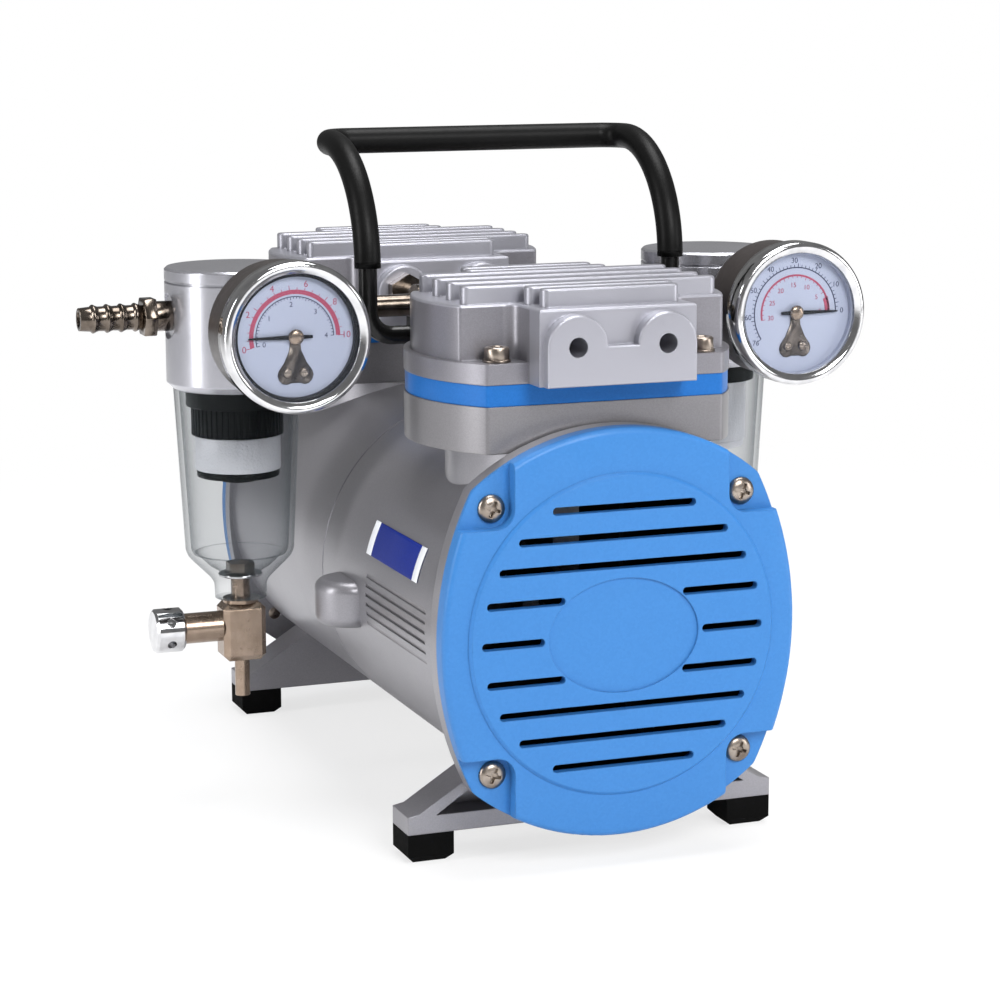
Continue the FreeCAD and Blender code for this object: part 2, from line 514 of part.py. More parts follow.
class Piece:
    """One sub-part made as a body of sketches, pads, turned shapes and cuts."""

    def __init__(self, label, x=0, y=0, z=0, keep=True):
        self.body = DOC.addObject("PartDesign::Body", label)
        self.body.Label = label
        self.body.Placement = FreeCAD.Placement(Vector(num(x), num(y), num(z)), Rotation())
        for path, amount in (("x", x), ("y", y), ("z", z)):
            bind(self.body, f"Placement.Base.{path}", amount)
        if keep:
            NODES.append(self.body)

    def sketch(self, plane, offset=0.0):
        """A new sketch on one of the body's planes."""
        return Sketch(self.body, plane, offset)

    def feature(self, kind, sketch=None):
        """A new feature of the body."""
        item = self.body.newObject(f"PartDesign::{kind}", f"{self.body.Name}_{kind}")
        if sketch is not None:
            item.Profile = sketch.item
        return item

    def pad(self, sketch, length, back=False, both=False):
        """Raise a sketch along its normal, against it, or both ways."""
        item = self.feature("Pad", sketch)
        item.Length = num(length)
        bind(item, "Length", length)
        item.Reversed = back
        item.Midplane = both
        return item

    def cut(self, sketch, length, back=False, both=False):
        """Cut a sketch into the body against its normal, along it, or both ways."""
        item = self.feature("Pocket", sketch)
        item.Length = num(length)
        bind(item, "Length", length)
        item.Reversed = back
        item.Midplane = both
        return item

    def turn(self, sketch, axis):
        """Turn a sketch round one of the body's axes."""
        item = self.feature("Revolution", sketch)
        item.ReferenceAxis = (origin_part(self.body, AXES[axis]), [""])
        item.Angle = 360
        return item

    def edges(self, test):
        """The body's tip and the names of its edges that pass a test."""
        DOC.recompute()
        tip = self.body.Tip
        names = [f"Edge{index + 1}" for index, edge in enumerate(tip.Shape.Edges) if test(edge)]
        return tip, names

    def round(self, radius, test):
        """Round the edges that pass a test."""
        tip, names = self.edges(test)
        item = self.feature("Fillet")
        item.Base = (tip, names)
        item.Radius = num(radius)
        bind(item, "Radius", radius)
        return item

    def bevel(self, amount, test):
        """Bevel the edges that pass a test."""
        tip, names = self.edges(test)
        item = self.feature("Chamfer")
        item.Base = (tip, names)
        item.Size = num(amount)
        bind(item, "Size", amount)
        return item

    def polar(self, features, axis, count):
        """Repeat features round an axis."""
        item = self.feature("PolarPattern")
        item.Originals = features
        item.Axis = (origin_part(self.body, AXES[axis]), [""])
        item.Angle = 360
        item.Occurrences = count
        self.body.Tip = item
        return item

    def line(self, features, axis, length, count, back=False):
        """Repeat features along an axis."""
        item = self.feature("LinearPattern")
        item.Originals = features
        item.Direction = (origin_part(self.body, AXES[axis]), [""])
        item.Reversed = back
        item.Length = num(length)
        bind(item, "Length", length)
        item.Occurrences = count
        self.body.Tip = item
        return item


def along(edge, axis):
    """Whether an edge is straight and runs along an axis."""
    if edge.Curve.TypeId != "Part::GeomLine":
        return False
    ends = [vertex.Point for vertex in edge.Vertexes]
    step = (ends[1] - ends[0]).normalize()
    return abs(abs(step.dot(ALONG[axis])) - 1) < 1e-6


def at(edge, axis, place):
    """Whether a whole edge lies at one place along an axis."""
    box = edge.BoundBox
    low, high = {"X": (box.XMin, box.XMax), "Y": (box.YMin, box.YMax), "Z": (box.ZMin, box.ZMax)}[axis]
    return abs(low - num(place)) < 1e-3 and abs(high - num(place)) < 1e-3


def item(kind, label, keep=True, **settings):
    """A document object with its properties set, and those that are Sizes tied to the sheet."""
    thing = DOC.addObject(f"Part::{kind}", label)
    thing.Label = label
    for name, amount in settings.items():
        setattr(thing, name, num(amount) if isinstance(amount, Size) else amount)
        bind(thing, name, amount)
    if keep:
        NODES.append(thing)
    return thing


def put(thing, x=0, y=0, z=0, rotation=None):
    """Place a document object."""
    thing.Placement = FreeCAD.Placement(Vector(num(x), num(y), num(z)), rotation or Rotation())
    for path, amount in (("x", x), ("y", y), ("z", z)):
        bind(thing, f"Placement.Base.{path}", amount)
    return thing


def mirrored(label, source, normal, z=0, keep=True):
    """The mirror image of an object in a plane through the pump's middle, or at a height."""
    image = item("Mirroring", label, keep, Source=source, Normal=normal, Base=Vector(0, 0, num(z)))
    bind(image, "Base.z", z)
    return image


def pair(label, source, normal, z=0, keep=True):
    """An object and its mirror image, as one group of separate solids."""
    image = mirrored(f"{label}_image", source, normal, z, keep=False)
    return item("Compound", label, keep, Links=[source, image])


SIDEWAYS = Vector(1, 0, 0)
LENGTHWAYS = Vector(0, 1, 0)
UPRIGHT = Vector(0, 0, 1)

RIM_FACE = HALF_LENGTH - DISC_RISE
COVER_BACK = RIM_FACE - COVER_DEPTH
FLANGE_BACK = COVER_BACK - FLANGE
SCREW_HALF = SCREW_SQUARE / 2


def cover_outline(sketch):
    """The cover's outline: two bulging sides, and a rounder top and bottom."""
    return sketch.loop(
        (CORNER_X, AXIS - CORNER_Z, TOP_ARC, 1),
        (CORNER_X, AXIS + CORNER_Z, SIDE_ARC, 1),
        (-CORNER_X, AXIS + CORNER_Z, TOP_ARC, 1),
        (-CORNER_X, AXIS - CORNER_Z, SIDE_ARC, 1))


def slot_rows(sketch):
    """The air slots: long ones above and below, short ones beside the bare oval."""
    for sign in (-1, 1):
        for row in (ROW_SECOND, ROW_THIRD, ROW_OUTER):
            end = leg(SLOT_CIRCLE, row) - SLOT_WIDTH / 2
            sketch.slot(-end, end, AXIS + row * sign, SLOT_WIDTH)
        for side in (-1, 1):
            end = leg(SLOT_CIRCLE, ROW_INNER) - SLOT_WIDTH / 2
            start = OVAL_WIDE * root(1 - ROW_INNER * ROW_INNER / OVAL_TALL / OVAL_TALL) + OVAL_GAP
            ends = (start, end) if side > 0 else (-end, -start)
            sketch.slot(*ends, AXIS + ROW_INNER * sign, SLOT_WIDTH)
    for side in (-1, 1):
        ends = [(OVAL_WIDE + OVAL_GAP) * side, (SLOT_CIRCLE - SLOT_WIDTH / 2) * side]
        sketch.slot(ends[0] if side > 0 else ends[1], ends[1] if side > 0 else ends[0],
                    AXIS, SLOT_WIDTH)
    return sketch


def corner_pocket(sketch, side, sign):
    """Outline of the lowered corner beyond a cover screw, round at the screw's inner side."""
    inner = SCREW_HALF - SCREW_POCKET
    far_x = CORNER_X * 1.5 * side
    far_z = AXIS + CORNER_Z * 1.6 * sign
    return sketch.loop(
        (inner * side, far_z),
        (inner * side, AXIS + SCREW_HALF * sign),
        (SCREW_HALF * side, AXIS + inner * sign, SCREW_POCKET, side * sign),
        (far_x, AXIS + inner * sign),
        (far_x, far_z))


def make_covers():
    """Slotted covers with four lowered corners for their screws and a bare oval in the middle."""
    piece = Piece("cover_body", keep=False)
    piece.pad(cover_outline(piece.sketch("XZ", COVER_BACK)), COVER_DEPTH)
    piece.round(CORNER_ROUND, lambda edge: along(edge, "Y"))
    piece.round(COVER_EDGE, lambda edge: at(edge, "Y", -RIM_FACE))
    piece.pad(piece.sketch("XZ", RIM_FACE).circle(0, AXIS, DISC_RADIUS), DISC_RISE)
    piece.bevel(DISC_RISE * 0.8, lambda edge: at(edge, "Y", -HALF_LENGTH))
    for side in (-1, 1):
        for sign in (-1, 1):
            piece.cut(corner_pocket(piece.sketch("XZ", RIM_FACE), side, sign), POCKET_DEPTH)
    piece.cut(slot_rows(piece.sketch("XZ", HALF_LENGTH)), COVER_DEPTH + DISC_RISE)
    hollow = piece.sketch("XZ", COVER_BACK).circle(0, AXIS, BACK_RECESS)
    piece.cut(hollow, COVER_DEPTH + DISC_RISE - SLOT_PLATE, back=True)
    holes = piece.sketch("XZ", COVER_BACK)
    for side in (-1, 1):
        for sign in (-1, 1):
            holes.circle(SCREW_HALF * side, AXIS + SCREW_HALF * sign, SCREW_SHANK + THREAD_GAP)
    piece.cut(holes, COVER_DEPTH, back=True)
    oval = item("Ellipse", "oval_line", False, MajorRadius=OVAL_WIDE, MinorRadius=OVAL_TALL)
    put(oval, 0, -HALF_LENGTH, AXIS, Rotation(SIDEWAYS, 90))
    field = item("Extrusion", "oval_field", False, Base=oval, Dir=LENGTHWAYS, Solid=True,
                 DirMode="Custom", LengthFwd=OVAL_DEPTH)
    front = item("Cut", "front_cover", Base=piece.body, Tool=field)
    mirrored("rear_cover", front, LENGTHWAYS)


def make_cover_screws():
    """Eight pan-head screws, four in each cover."""
    seat = RIM_FACE - POCKET_DEPTH
    piece = Piece("cover_screw", SCREW_HALF, 0, AXIS + SCREW_HALF, keep=False)
    profile = piece.sketch("YZ").loop(
        (-(seat + SCREW_HEAD_TALL), 0),
        (-(seat + SCREW_HEAD_TALL), SCREW_HEAD * 0.55),
        (-seat, SCREW_HEAD, SCREW_HEAD * 0.75, -1),
        (-seat, SCREW_SHANK),
        (-FLANGE_BACK, SCREW_SHANK),
        (-FLANGE_BACK, 0))
    piece.turn(profile, "Y")
    row = pair("cover_screw_row", piece.body, SIDEWAYS, keep=False)
    square = pair("cover_screw_square", row, UPRIGHT, AXIS, keep=False)
    pair("cover_screws", square, LENGTHWAYS)


LEG_BACK = FOOT_Y - FOOT_SIDE / 2
LEG_SIDE = FOOT_X + FOOT_SIDE / 2
LEG_TOP = FOOT_HEIGHT + LEG_PLATE
SPIGOT_LOW = SEAT_HEIGHT - SPIGOT_DEPTH


def leg_pocket(sketch, side):
    """The three-sided hollow in a leg, between its base bar and its slope."""
    inner = LEG_RISE_X - LEG_CORE
    slope = (LEG_RISE_Z - LEG_TOP) / (LEG_SIDE - LEG_LIP - LEG_RISE_X)
    start = LEG_SIDE - LEG_LIP - LEG_RIB / slope
    return sketch.loop(
        (start * side, LEG_TOP),
        (inner * side, LEG_TOP),
        (inner * side, LEG_TOP + (start - inner) * slope))


def head_outline(sketch, inset=0.0, centre=0.0):
    """Outline of cylinder, valve plate and head: round sides and two flats."""
    radius = HEAD_RADIUS - inset
    flat = HEAD_FLAT - inset
    half = leg(radius, flat)
    return sketch.loop(
        (half, centre - flat),
        (half, centre + flat, radius, 1),
        (-half, centre + flat),
        (-half, centre - flat, radius, 1))


def make_housings():
    """Two cast halves with end flanges, bulkheads, cylinder necks and pocketed legs."""
    piece = Piece("housing_body", keep=False)
    piece.pad(piece.sketch("XZ").circle(0, AXIS, HOUSING_RADIUS), COVER_BACK)
    piece.bevel(SEAM_BEVEL, lambda edge: at(edge, "Y", 0))
    piece.pad(cover_outline(piece.sketch("XZ", FLANGE_BACK)), FLANGE)
    neck = piece.sketch("XY", SEAT_HEIGHT).circle(0, -HEAD_Y, SEAT_NECK)
    piece.pad(neck, SEAT_HEIGHT - AXIS, back=True)
    feet = piece.sketch("XZ", LEG_BACK)
    feet.loop(
        (-LEG_SIDE, FOOT_HEIGHT), (LEG_SIDE, FOOT_HEIGHT), (LEG_SIDE, LEG_TOP),
        (LEG_SIDE - LEG_LIP, LEG_TOP + LEG_LIP_RISE), (LEG_RISE_X, LEG_RISE_Z),
        (-LEG_RISE_X, LEG_RISE_Z), (-(LEG_SIDE - LEG_LIP), LEG_TOP + LEG_LIP_RISE),
        (-LEG_SIDE, LEG_TOP))
    piece.pad(feet, FOOT_SIDE)
    for side in (-1, 1):
        pocket = leg_pocket(piece.sketch("XZ", LEG_BACK + FOOT_SIDE), side)
        piece.cut(pocket, FOOT_SIDE - LEG_WEB)
    top = piece.sketch("XY", SEAT_HEIGHT)
    reach = HEAD_FLAT + SEAT_CLEAR
    top.box(-SEAT_NECK, -(HEAD_Y + reach), SEAT_NECK, -(HEAD_Y - reach))
    piece.cut(top, HOUSING_WALL, back=True)
    chamber = piece.sketch("XZ", COVER_BACK)
    chamber.circle(0, AXIS, HOUSING_RADIUS - HOUSING_WALL)
    piece.cut(chamber, COVER_BACK - BULKHEAD_PLACE - BULKHEAD)
    motor = piece.sketch("XZ")
    motor.circle(0, AXIS, HOUSING_RADIUS - HOUSING_WALL)
    piece.cut(motor, BULKHEAD_PLACE, back=True)
    hub = piece.sketch("XZ", BULKHEAD_PLACE + BULKHEAD)
    hub.circle(0, AXIS, BEARING_RADIUS + HOUSING_WALL)
    piece.pad(hub, BEARING_WIDTH - BULKHEAD)
    seat = piece.sketch("XZ", BULKHEAD_PLACE)
    seat.circle(0, AXIS, BEARING_RADIUS)
    piece.cut(seat, BEARING_WIDTH, back=True)
    well = piece.sketch("XY", SEAT_HEIGHT)
    well.circle(0, -HEAD_Y, SPIGOT_RADIUS + SPIGOT_GAP)
    piece.cut(well, SEAT_HEIGHT - AXIS - WELL_END)
    holes = piece.sketch("XZ", COVER_BACK)
    for side in (-1, 1):
        for sign in (-1, 1):
            holes.circle(SCREW_HALF * side, AXIS + SCREW_HALF * sign, SCREW_SHANK + THREAD_GAP)
    piece.cut(holes, FLANGE)
    boss = Piece("side_boss", BOSS_SINK - HOUSING_RADIUS, -BOSS_Y, BOSS_LOW, keep=False)
    boss.pad(boss.sketch("XY").circle(0, 0, BOSS_RADIUS), BOSS_TALL)
    boss.round(BOSS_TALL / 4, lambda edge: not along(edge, "Z"))
    hollow = item("Cylinder", "boss_limit", False, Radius=HOUSING_RADIUS - BOSS_SINK, Height=COVER_BACK)
    put(hollow, 0, 0, AXIS, Rotation(SIDEWAYS, 90))
    shell = item("Cut", "boss_shell", False, Base=boss.body, Tool=hollow)
    both = item("Fuse", "housing_and_boss", False, Base=piece.body, Tool=shell)
    louvre = Piece("louvre", keep=False)
    line = louvre.sketch("YZ", -HOUSING_RADIUS)
    line.box(-(LOUVRE_START + LOUVRE_LENGTH), LOUVRE_LOW, -LOUVRE_START, LOUVRE_LOW + LOUVRE_WIDTH)
    groove = louvre.pad(line, LOUVRE_DEPTH * 2, both=True)
    louvre.line([groove], "Z", LOUVRE_STEP * (LOUVRE_COUNT - 1), LOUVRE_COUNT)
    item("Cut", "front_housing", Base=both, Tool=louvre.body)
    mirrored("rear_housing", piece.body, LENGTHWAYS)


def make_feet():
    """Four square rubber feet with bevelled bottoms."""
    piece = Piece("foot", FOOT_X, -FOOT_Y, 0, keep=False)
    half = FOOT_SIDE / 2
    piece.pad(piece.sketch("XY").box(-half, -half, half, half), FOOT_HEIGHT)
    piece.bevel(FOOT_BEVEL, lambda edge: at(edge, "Z", 0))
    row = pair("foot_row", piece.body, SIDEWAYS, keep=False)
    pair("rubber_feet", row, LENGTHWAYS)


PLATE_LOW = SEAT_HEIGHT + CYLINDER_TALL
PLATE_TOP = PLATE_LOW + PLATE_TALL
HEAD_TOP = PLATE_TOP + HEAD_TALL
LEDGE = PLATE_TOP + HEAD_FLANGE
SCREW_LOW = SEAT_HEIGHT + SCREW_STOP


def screw_holes(sketch, radius):
    """The four head-screw holes about the cylinder's axis."""
    for side in (-1, 1):
        for sign in (-1, 1):
            sketch.circle(HEAD_SCREW_X * side, HEAD_SCREW_Y * sign, radius)
    return sketch


def make_cylinders():
    """Cylinder blocks with a spigot that stands in the housing."""
    piece = Piece("front_cylinder", 0, -HEAD_Y, 0)
    piece.pad(head_outline(piece.sketch("XY", SEAT_HEIGHT)), CYLINDER_TALL)
    piece.round(CORNER_SOFT, lambda edge: along(edge, "Z"))
    piece.pad(piece.sketch("XY", SPIGOT_LOW).circle(0, 0, SPIGOT_RADIUS), SPIGOT_DEPTH)
    piece.cut(piece.sketch("XY", PLATE_LOW).circle(0, 0, BORE), CYLINDER_TALL + SPIGOT_DEPTH)
    holes = screw_holes(piece.sketch("XY", PLATE_LOW), HEAD_SCREW_SHANK + THREAD_GAP)
    piece.cut(holes, PLATE_LOW - SCREW_LOW + SCREW_SPARE)
    mirrored("rear_cylinder", piece.body, LENGTHWAYS)


def make_valve_plates():
    """Coloured valve plates between cylinder and head, each with two flow holes."""
    piece = Piece("front_valve_plate", 0, -HEAD_Y, 0)
    piece.pad(head_outline(piece.sketch("XY", PLATE_LOW), PLATE_INSET), PLATE_TALL)
    piece.round(CORNER_SOFT - PLATE_INSET, lambda edge: along(edge, "Z"))
    holes = screw_holes(piece.sketch("XY", PLATE_TOP), HEAD_SCREW_SHANK + THREAD_GAP)
    holes.circle(-FLOW_X, 0, FLOW_RADIUS)
    holes.circle(FLOW_X, 0, FLOW_RADIUS)
    piece.cut(holes, PLATE_TALL)
    mirrored("rear_valve_plate", piece.body, LENGTHWAYS)


def port_pad(sketch):
    """The two round port bosses and the flat band that joins them below."""
    outer = PORT_X + PORT_BOSS
    gap = PORT_X - PORT_BOSS
    top = PORT_HEIGHT + PORT_BOSS
    return sketch.loop(
        (-outer, PORT_HEIGHT),
        (-PORT_X, top, PORT_BOSS, -1),
        (-gap, PORT_HEIGHT, PORT_BOSS, -1),
        (gap, PORT_HEIGHT),
        (PORT_X, top, PORT_BOSS, -1),
        (outer, PORT_HEIGHT, PORT_BOSS, -1),
        (outer, PLATE_TOP),
        (-outer, PLATE_TOP))


def head_ribs(sketch):
    """Outlines of a head's ribs: four long ones, and a short one and a port block's on each side."""
    rows = (
        (RIB_STEP / 2, RIB_HALF),
        (RIB_STEP * 3 / 2, RIB_HALF),
        (SHORT_Y, SHORT_HALF),
        (BLOCK_Y, BLOCK_HALF))
    for middle, half in rows:
        for sign in (-1, 1):
            low = middle * sign - RIB_WIDTH / 2
            sketch.box(-half, low, half, low + RIB_WIDTH)
    return sketch


def make_heads():
    """Ribbed heads with notches for the screws and a port block with two bosses on each flat."""
    piece = Piece("front_head", 0, -HEAD_Y, 0)
    piece.pad(head_outline(piece.sketch("XY", PLATE_TOP)), HEAD_FLANGE)
    piece.round(CORNER_SOFT, lambda edge: along(edge, "Z"))
    half = leg(DRUM_RADIUS, NOTCH_Y)
    drum = piece.sketch("XY", LEDGE).loop(
        (half, -NOTCH_Y),
        (half, NOTCH_Y, DRUM_RADIUS, 1),
        (-half, NOTCH_Y),
        (-half, -NOTCH_Y, DRUM_RADIUS, 1))
    piece.pad(drum, HEAD_TOP - LEDGE)
    reach = HEAD_FLAT + PORT_REACH
    face = reach - PORT_PAD
    block = piece.sketch("XY", PLATE_TOP)
    block.box(-PORT_HALF, -face, PORT_HALF, face)
    piece.pad(block, HEAD_TALL)

    def upright(edge, x):
        """Whether an edge of the drum stands at a place to both sides of the middle."""
        on_wall = at(edge, "Y", NOTCH_Y) or at(edge, "Y", -NOTCH_Y)
        return along(edge, "Z") and on_wall and (at(edge, "X", x) or at(edge, "X", -x))

    piece.round(NOTCH_ROUND, lambda edge: upright(edge, PORT_HALF))
    piece.round(DRUM_SOFT, lambda edge: upright(edge, half))
    piece.round(TOP_SOFT, lambda edge: at(edge, "Z", HEAD_TOP))
    piece.pad(head_ribs(piece.sketch("XY", HEAD_TOP)), RIB_TALL)
    rib_top = HEAD_TOP + RIB_TALL
    piece.round(RIB_ROUND, lambda edge: along(edge, "Z") and edge.BoundBox.ZMin > num(HEAD_TOP) - 0.1)
    piece.round(RIB_SOFT, lambda edge: at(edge, "Z", rib_top))
    for sign in (-1, 1):
        piece.pad(port_pad(piece.sketch("XZ", face * sign)), PORT_PAD, back=sign < 0)
        piece.round(PAD_SOFT, lambda edge: at(edge, "Y", -reach * sign))
        ports = piece.sketch("XZ", reach * sign)
        ports.circle(-PORT_X, PORT_HEIGHT, PORT_RADIUS)
        ports.circle(PORT_X, PORT_HEIGHT, PORT_RADIUS)
        piece.cut(ports, PORT_DEPTH, back=sign < 0)
    holes = screw_holes(piece.sketch("XY", LEDGE), HEAD_SCREW_SHANK + THREAD_GAP)
    piece.cut(holes, HEAD_FLANGE)
    mirrored("rear_head", piece.body, LENGTHWAYS)


def make_head_screws():
    """Eight socket-head screws that stand on the heads' flanges."""
    socket = HEAD_SCREW_HEAD / 2
    deep = HEAD_SCREW_TALL / 2
    screws = []
    for name, place in (("outer", HEAD_Y + HEAD_SCREW_Y), ("inner", HEAD_Y - HEAD_SCREW_Y)):
        piece = Piece(f"{name}_head_screw", HEAD_SCREW_X, -place, 0, keep=False)
        profile = piece.sketch("XZ").loop(
            (0, SCREW_LOW), (HEAD_SCREW_SHANK, SCREW_LOW), (HEAD_SCREW_SHANK, LEDGE),
            (HEAD_SCREW_HEAD, LEDGE), (HEAD_SCREW_HEAD, LEDGE + HEAD_SCREW_TALL),
            (socket, LEDGE + HEAD_SCREW_TALL), (socket, LEDGE + deep), (0, LEDGE + deep))
        piece.turn(profile, "Z")
        screws.append(piece.body)
    side = item("Compound", "head_screw_side", False, Links=screws)
    square = pair("head_screw_square", side, SIDEWAYS, keep=False)
    pair("head_screws", square, LENGTHWAYS)


CUP_RADIUS = BORE - THROW - CUP_GAP
PISTON_RADIUS = CUP_RADIUS - CUP_WALL
CUP_NECK = PISTON_RADIUS / 2
PISTON_TOP = PLATE_LOW - TOP_GAP
CUP_LOW = PISTON_TOP - CAP_TALL - CUP_WALL
PIN = AXIS + THROW


def make_motor():
    """Stator core, windings and the two main bearings, all held by the housing."""
    core = Piece("stator_core")
    ring = core.sketch("XZ", -CORE_HALF)
    ring.circle(0, AXIS, HOUSING_RADIUS - HOUSING_WALL)
    ring.circle(0, AXIS, ROTOR_RADIUS + AIR_GAP)
    core.pad(ring, CORE_HALF * 2)
    winding = Piece("winding", 0, 0, AXIS, keep=False)
    inner = ROTOR_RADIUS + AIR_GAP + WINDING_GAP
    outer = HOUSING_RADIUS - HOUSING_WALL - WINDING_INSET
    coil = winding.sketch("YZ").loop(
        (-CORE_HALF, inner), (-CORE_HALF, outer),
        (-(CORE_HALF + WINDING_REACH * 0.7), outer),
        (-(CORE_HALF + WINDING_REACH), outer - WINDING_SLOPE),
        (-(CORE_HALF + WINDING_REACH), inner + WINDING_GAP),
        (-(CORE_HALF + WINDING_REACH * 0.7), inner))
    winding.turn(coil, "Y")
    pair("stator_windings", winding.body, LENGTHWAYS)
    bearing = Piece("bearing", keep=False)
    ring = bearing.sketch("XZ", BULKHEAD_PLACE)
    ring.circle(0, AXIS, BEARING_RADIUS).circle(0, AXIS, SHAFT_THICK + RUN_GAP)
    bearing.pad(ring, BEARING_WIDTH)
    pair("main_bearings", bearing.body, LENGTHWAYS)


def make_shaft():
    """Shaft with thinner ends, and the rotor core on it."""
    shaft = Piece("shaft", 0, 0, AXIS)
    step = BULKHEAD_PLACE + BEARING_WIDTH
    shaft.turn(shaft.sketch("YZ").loop(
        (-SHAFT_HALF, 0), (-SHAFT_HALF, SHAFT_THIN), (-step, SHAFT_THIN), (-step, SHAFT_THICK),
        (step, SHAFT_THICK), (step, SHAFT_THIN), (SHAFT_HALF, SHAFT_THIN), (SHAFT_HALF, 0)), "Y")
    core = Piece("rotor_core")
    ring = core.sketch("XZ", -CORE_HALF)
    ring.circle(0, AXIS, ROTOR_RADIUS).circle(0, AXIS, SHAFT_THICK)
    core.pad(ring, CORE_HALF * 2)


def eccentric(label, sign):
    """Eccentric disc with its half-round counterweight; sign is 1 where the crank points up."""
    piece = Piece(label, keep=False)
    half = ECCENTRIC_WIDTH / 2
    place = HEAD_Y * sign
    disc = piece.sketch("XZ", place - half)
    disc.circle(0, AXIS + THROW * sign, ECCENTRIC_RADIUS)
    piece.pad(disc, ECCENTRIC_WIDTH)
    weight = piece.sketch("XZ", (HEAD_Y - half - WEIGHT_WIDTH) * sign)
    level = AXIS + (SHAFT_THIN + WEIGHT_STEP) * sign
    arm = leg(WEIGHT_RADIUS, SHAFT_THIN + WEIGHT_STEP)
    weight.loop(
        (-arm * sign, level),
        (0, AXIS - WEIGHT_RADIUS * sign, WEIGHT_RADIUS, 1),
        (arm * sign, level, WEIGHT_RADIUS, 1))
    piece.pad(weight, WEIGHT_WIDTH, back=sign < 0)
    bore = piece.sketch("XZ", (HEAD_Y - half - WEIGHT_WIDTH) * sign)
    bore.circle(0, AXIS, SHAFT_THIN)
    piece.cut(bore, ECCENTRIC_WIDTH + WEIGHT_WIDTH, back=sign > 0)
    return piece.body


def make_eccentrics():
    """The two eccentrics, half a turn apart."""
    bodies = [eccentric("front_eccentric", 1), eccentric("rear_eccentric", -1)]
    item("Compound", "eccentrics", Links=bodies)


def make_fans():
    """Cooling fans behind both covers, with slanted blades."""
    piece = Piece("fan", 0, 0, AXIS, keep=False)
    hub = piece.sketch("XZ", FAN_PLACE).circle(0, 0, FAN_HUB).circle(0, 0, SHAFT_THIN)
    piece.pad(hub, FAN_WIDTH)
    half = BLADE_THICK / 2
    slant = FAN_WIDTH / 2 - half
    middle = FAN_PLACE + FAN_WIDTH / 2
    blade = piece.sketch("XY", FAN_HUB - BLADE_ROOT)
    blade.loop(
        (-slant - half, slant - middle), (half - slant, slant - middle + half),
        (slant + half, -middle - slant), (slant - half, -middle - slant - half))
    first = piece.pad(blade, FAN_RADIUS - FAN_HUB + BLADE_ROOT)
    piece.polar([first], "Y", 7)
    pair("cooling_fans", piece.body, LENGTHWAYS)


def make_rods():
    """Piston rods with their clamping caps, and the cup seals."""
    piece = Piece("front_rod", 0, -HEAD_Y, 0)
    outer = ECCENTRIC_RADIUS + RUN_GAP + ROD_RING
    disc = piece.sketch("XY", CUP_LOW - PISTON_TALL).circle(0, 0, PISTON_RADIUS)
    piece.pad(disc, PISTON_TALL)
    piece.pad(piece.sketch("XY", CUP_LOW).circle(0, 0, CUP_NECK), CUP_WALL)
    cap = piece.sketch("XY", CUP_LOW + CUP_WALL).circle(0, 0, PISTON_RADIUS - CUP_WALL * 2)
    piece.pad(cap, CAP_TALL)
    shank = piece.sketch("XZ")
    shank.loop(
        (ROD_SHANK, PIN), (ROD_SHANK, CUP_LOW - PISTON_TALL),
        (-ROD_SHANK, CUP_LOW - PISTON_TALL), (-ROD_SHANK, PIN))
    piece.pad(shank, ROD_WIDTH, both=True)
    piece.pad(piece.sketch("XZ").circle(0, PIN, outer), ROD_WIDTH, both=True)
    eye = piece.sketch("XZ").circle(0, PIN, ECCENTRIC_RADIUS + RUN_GAP)
    piece.cut(eye, ROD_WIDTH, both=True)
    cup = Piece("front_cup", 0, -HEAD_Y, 0)
    lip = CUP_LOW + CUP_WALL + CAP_TALL * 0.7
    cup.turn(cup.sketch("XZ").loop(
        (CUP_NECK, CUP_LOW), (CUP_RADIUS, CUP_LOW), (CUP_RADIUS, lip),
        (CUP_RADIUS - CUP_WALL, lip), (CUP_RADIUS - CUP_WALL, CUP_LOW + CUP_WALL),
        (CUP_NECK, CUP_LOW + CUP_WALL)), "Z")
    for name, body in (("rod", piece.body), ("cup", cup.body)):
        image = mirrored(f"rear_{name}", body, LENGTHWAYS)
        put(image, 0, 0, -THROW * 2)


def bent_path(low, from_foot):
    """The handle's centre line: legs that curve back, corners and the straight grip."""
    x = num(HANDLE_X)
    y = num(HANDLE_Y)
    bend = num(HANDLE_BEND_Z)
    sweep = num(HANDLE_SWEEP)
    corner = num(HANDLE_CORNER)
    half = math.sqrt(0.5)
    top = bend + sweep
    edges = []

    def add_line(start, end):
        edges.append(Part.LineSegment(start, end).toShape())

    def add_arc(start, middle, end):
        edges.append(Part.Arc(start, middle, end).toShape())

    if from_foot:
        inner = num(CLAMP_X)
        foot = num(HANDLE_FOOT)
        add_line(Vector(-inner, y, foot), Vector(-x + corner, y, foot))
        add_arc(Vector(-x + corner, y, foot),
                Vector(-x + corner * (1 - half), y, foot + corner * (1 - half)),
                Vector(-x, y, foot + corner))
        low = foot + corner
    start = Vector(-x, y, low)
    add_line(start, Vector(-x, y, bend))
    add_arc(Vector(-x, y, bend),
            Vector(-x, y + sweep * (1 - half), bend + sweep * half),
            Vector(-x, y + sweep, top))
    add_arc(Vector(-x, y + sweep, top),
            Vector(-x + corner * (1 - half), y + sweep + corner * half, top),
            Vector(-x + corner, y + sweep + corner, top))
    add_line(Vector(-x + corner, y + sweep + corner, top), Vector(0, y + sweep + corner, top))
    half_wire = Part.Wire(edges)
    other = half_wire.mirror(Vector(0, 0, 0), Vector(1, 0, 0))
    return Part.Wire(half_wire.Edges + list(reversed(other.Edges)))


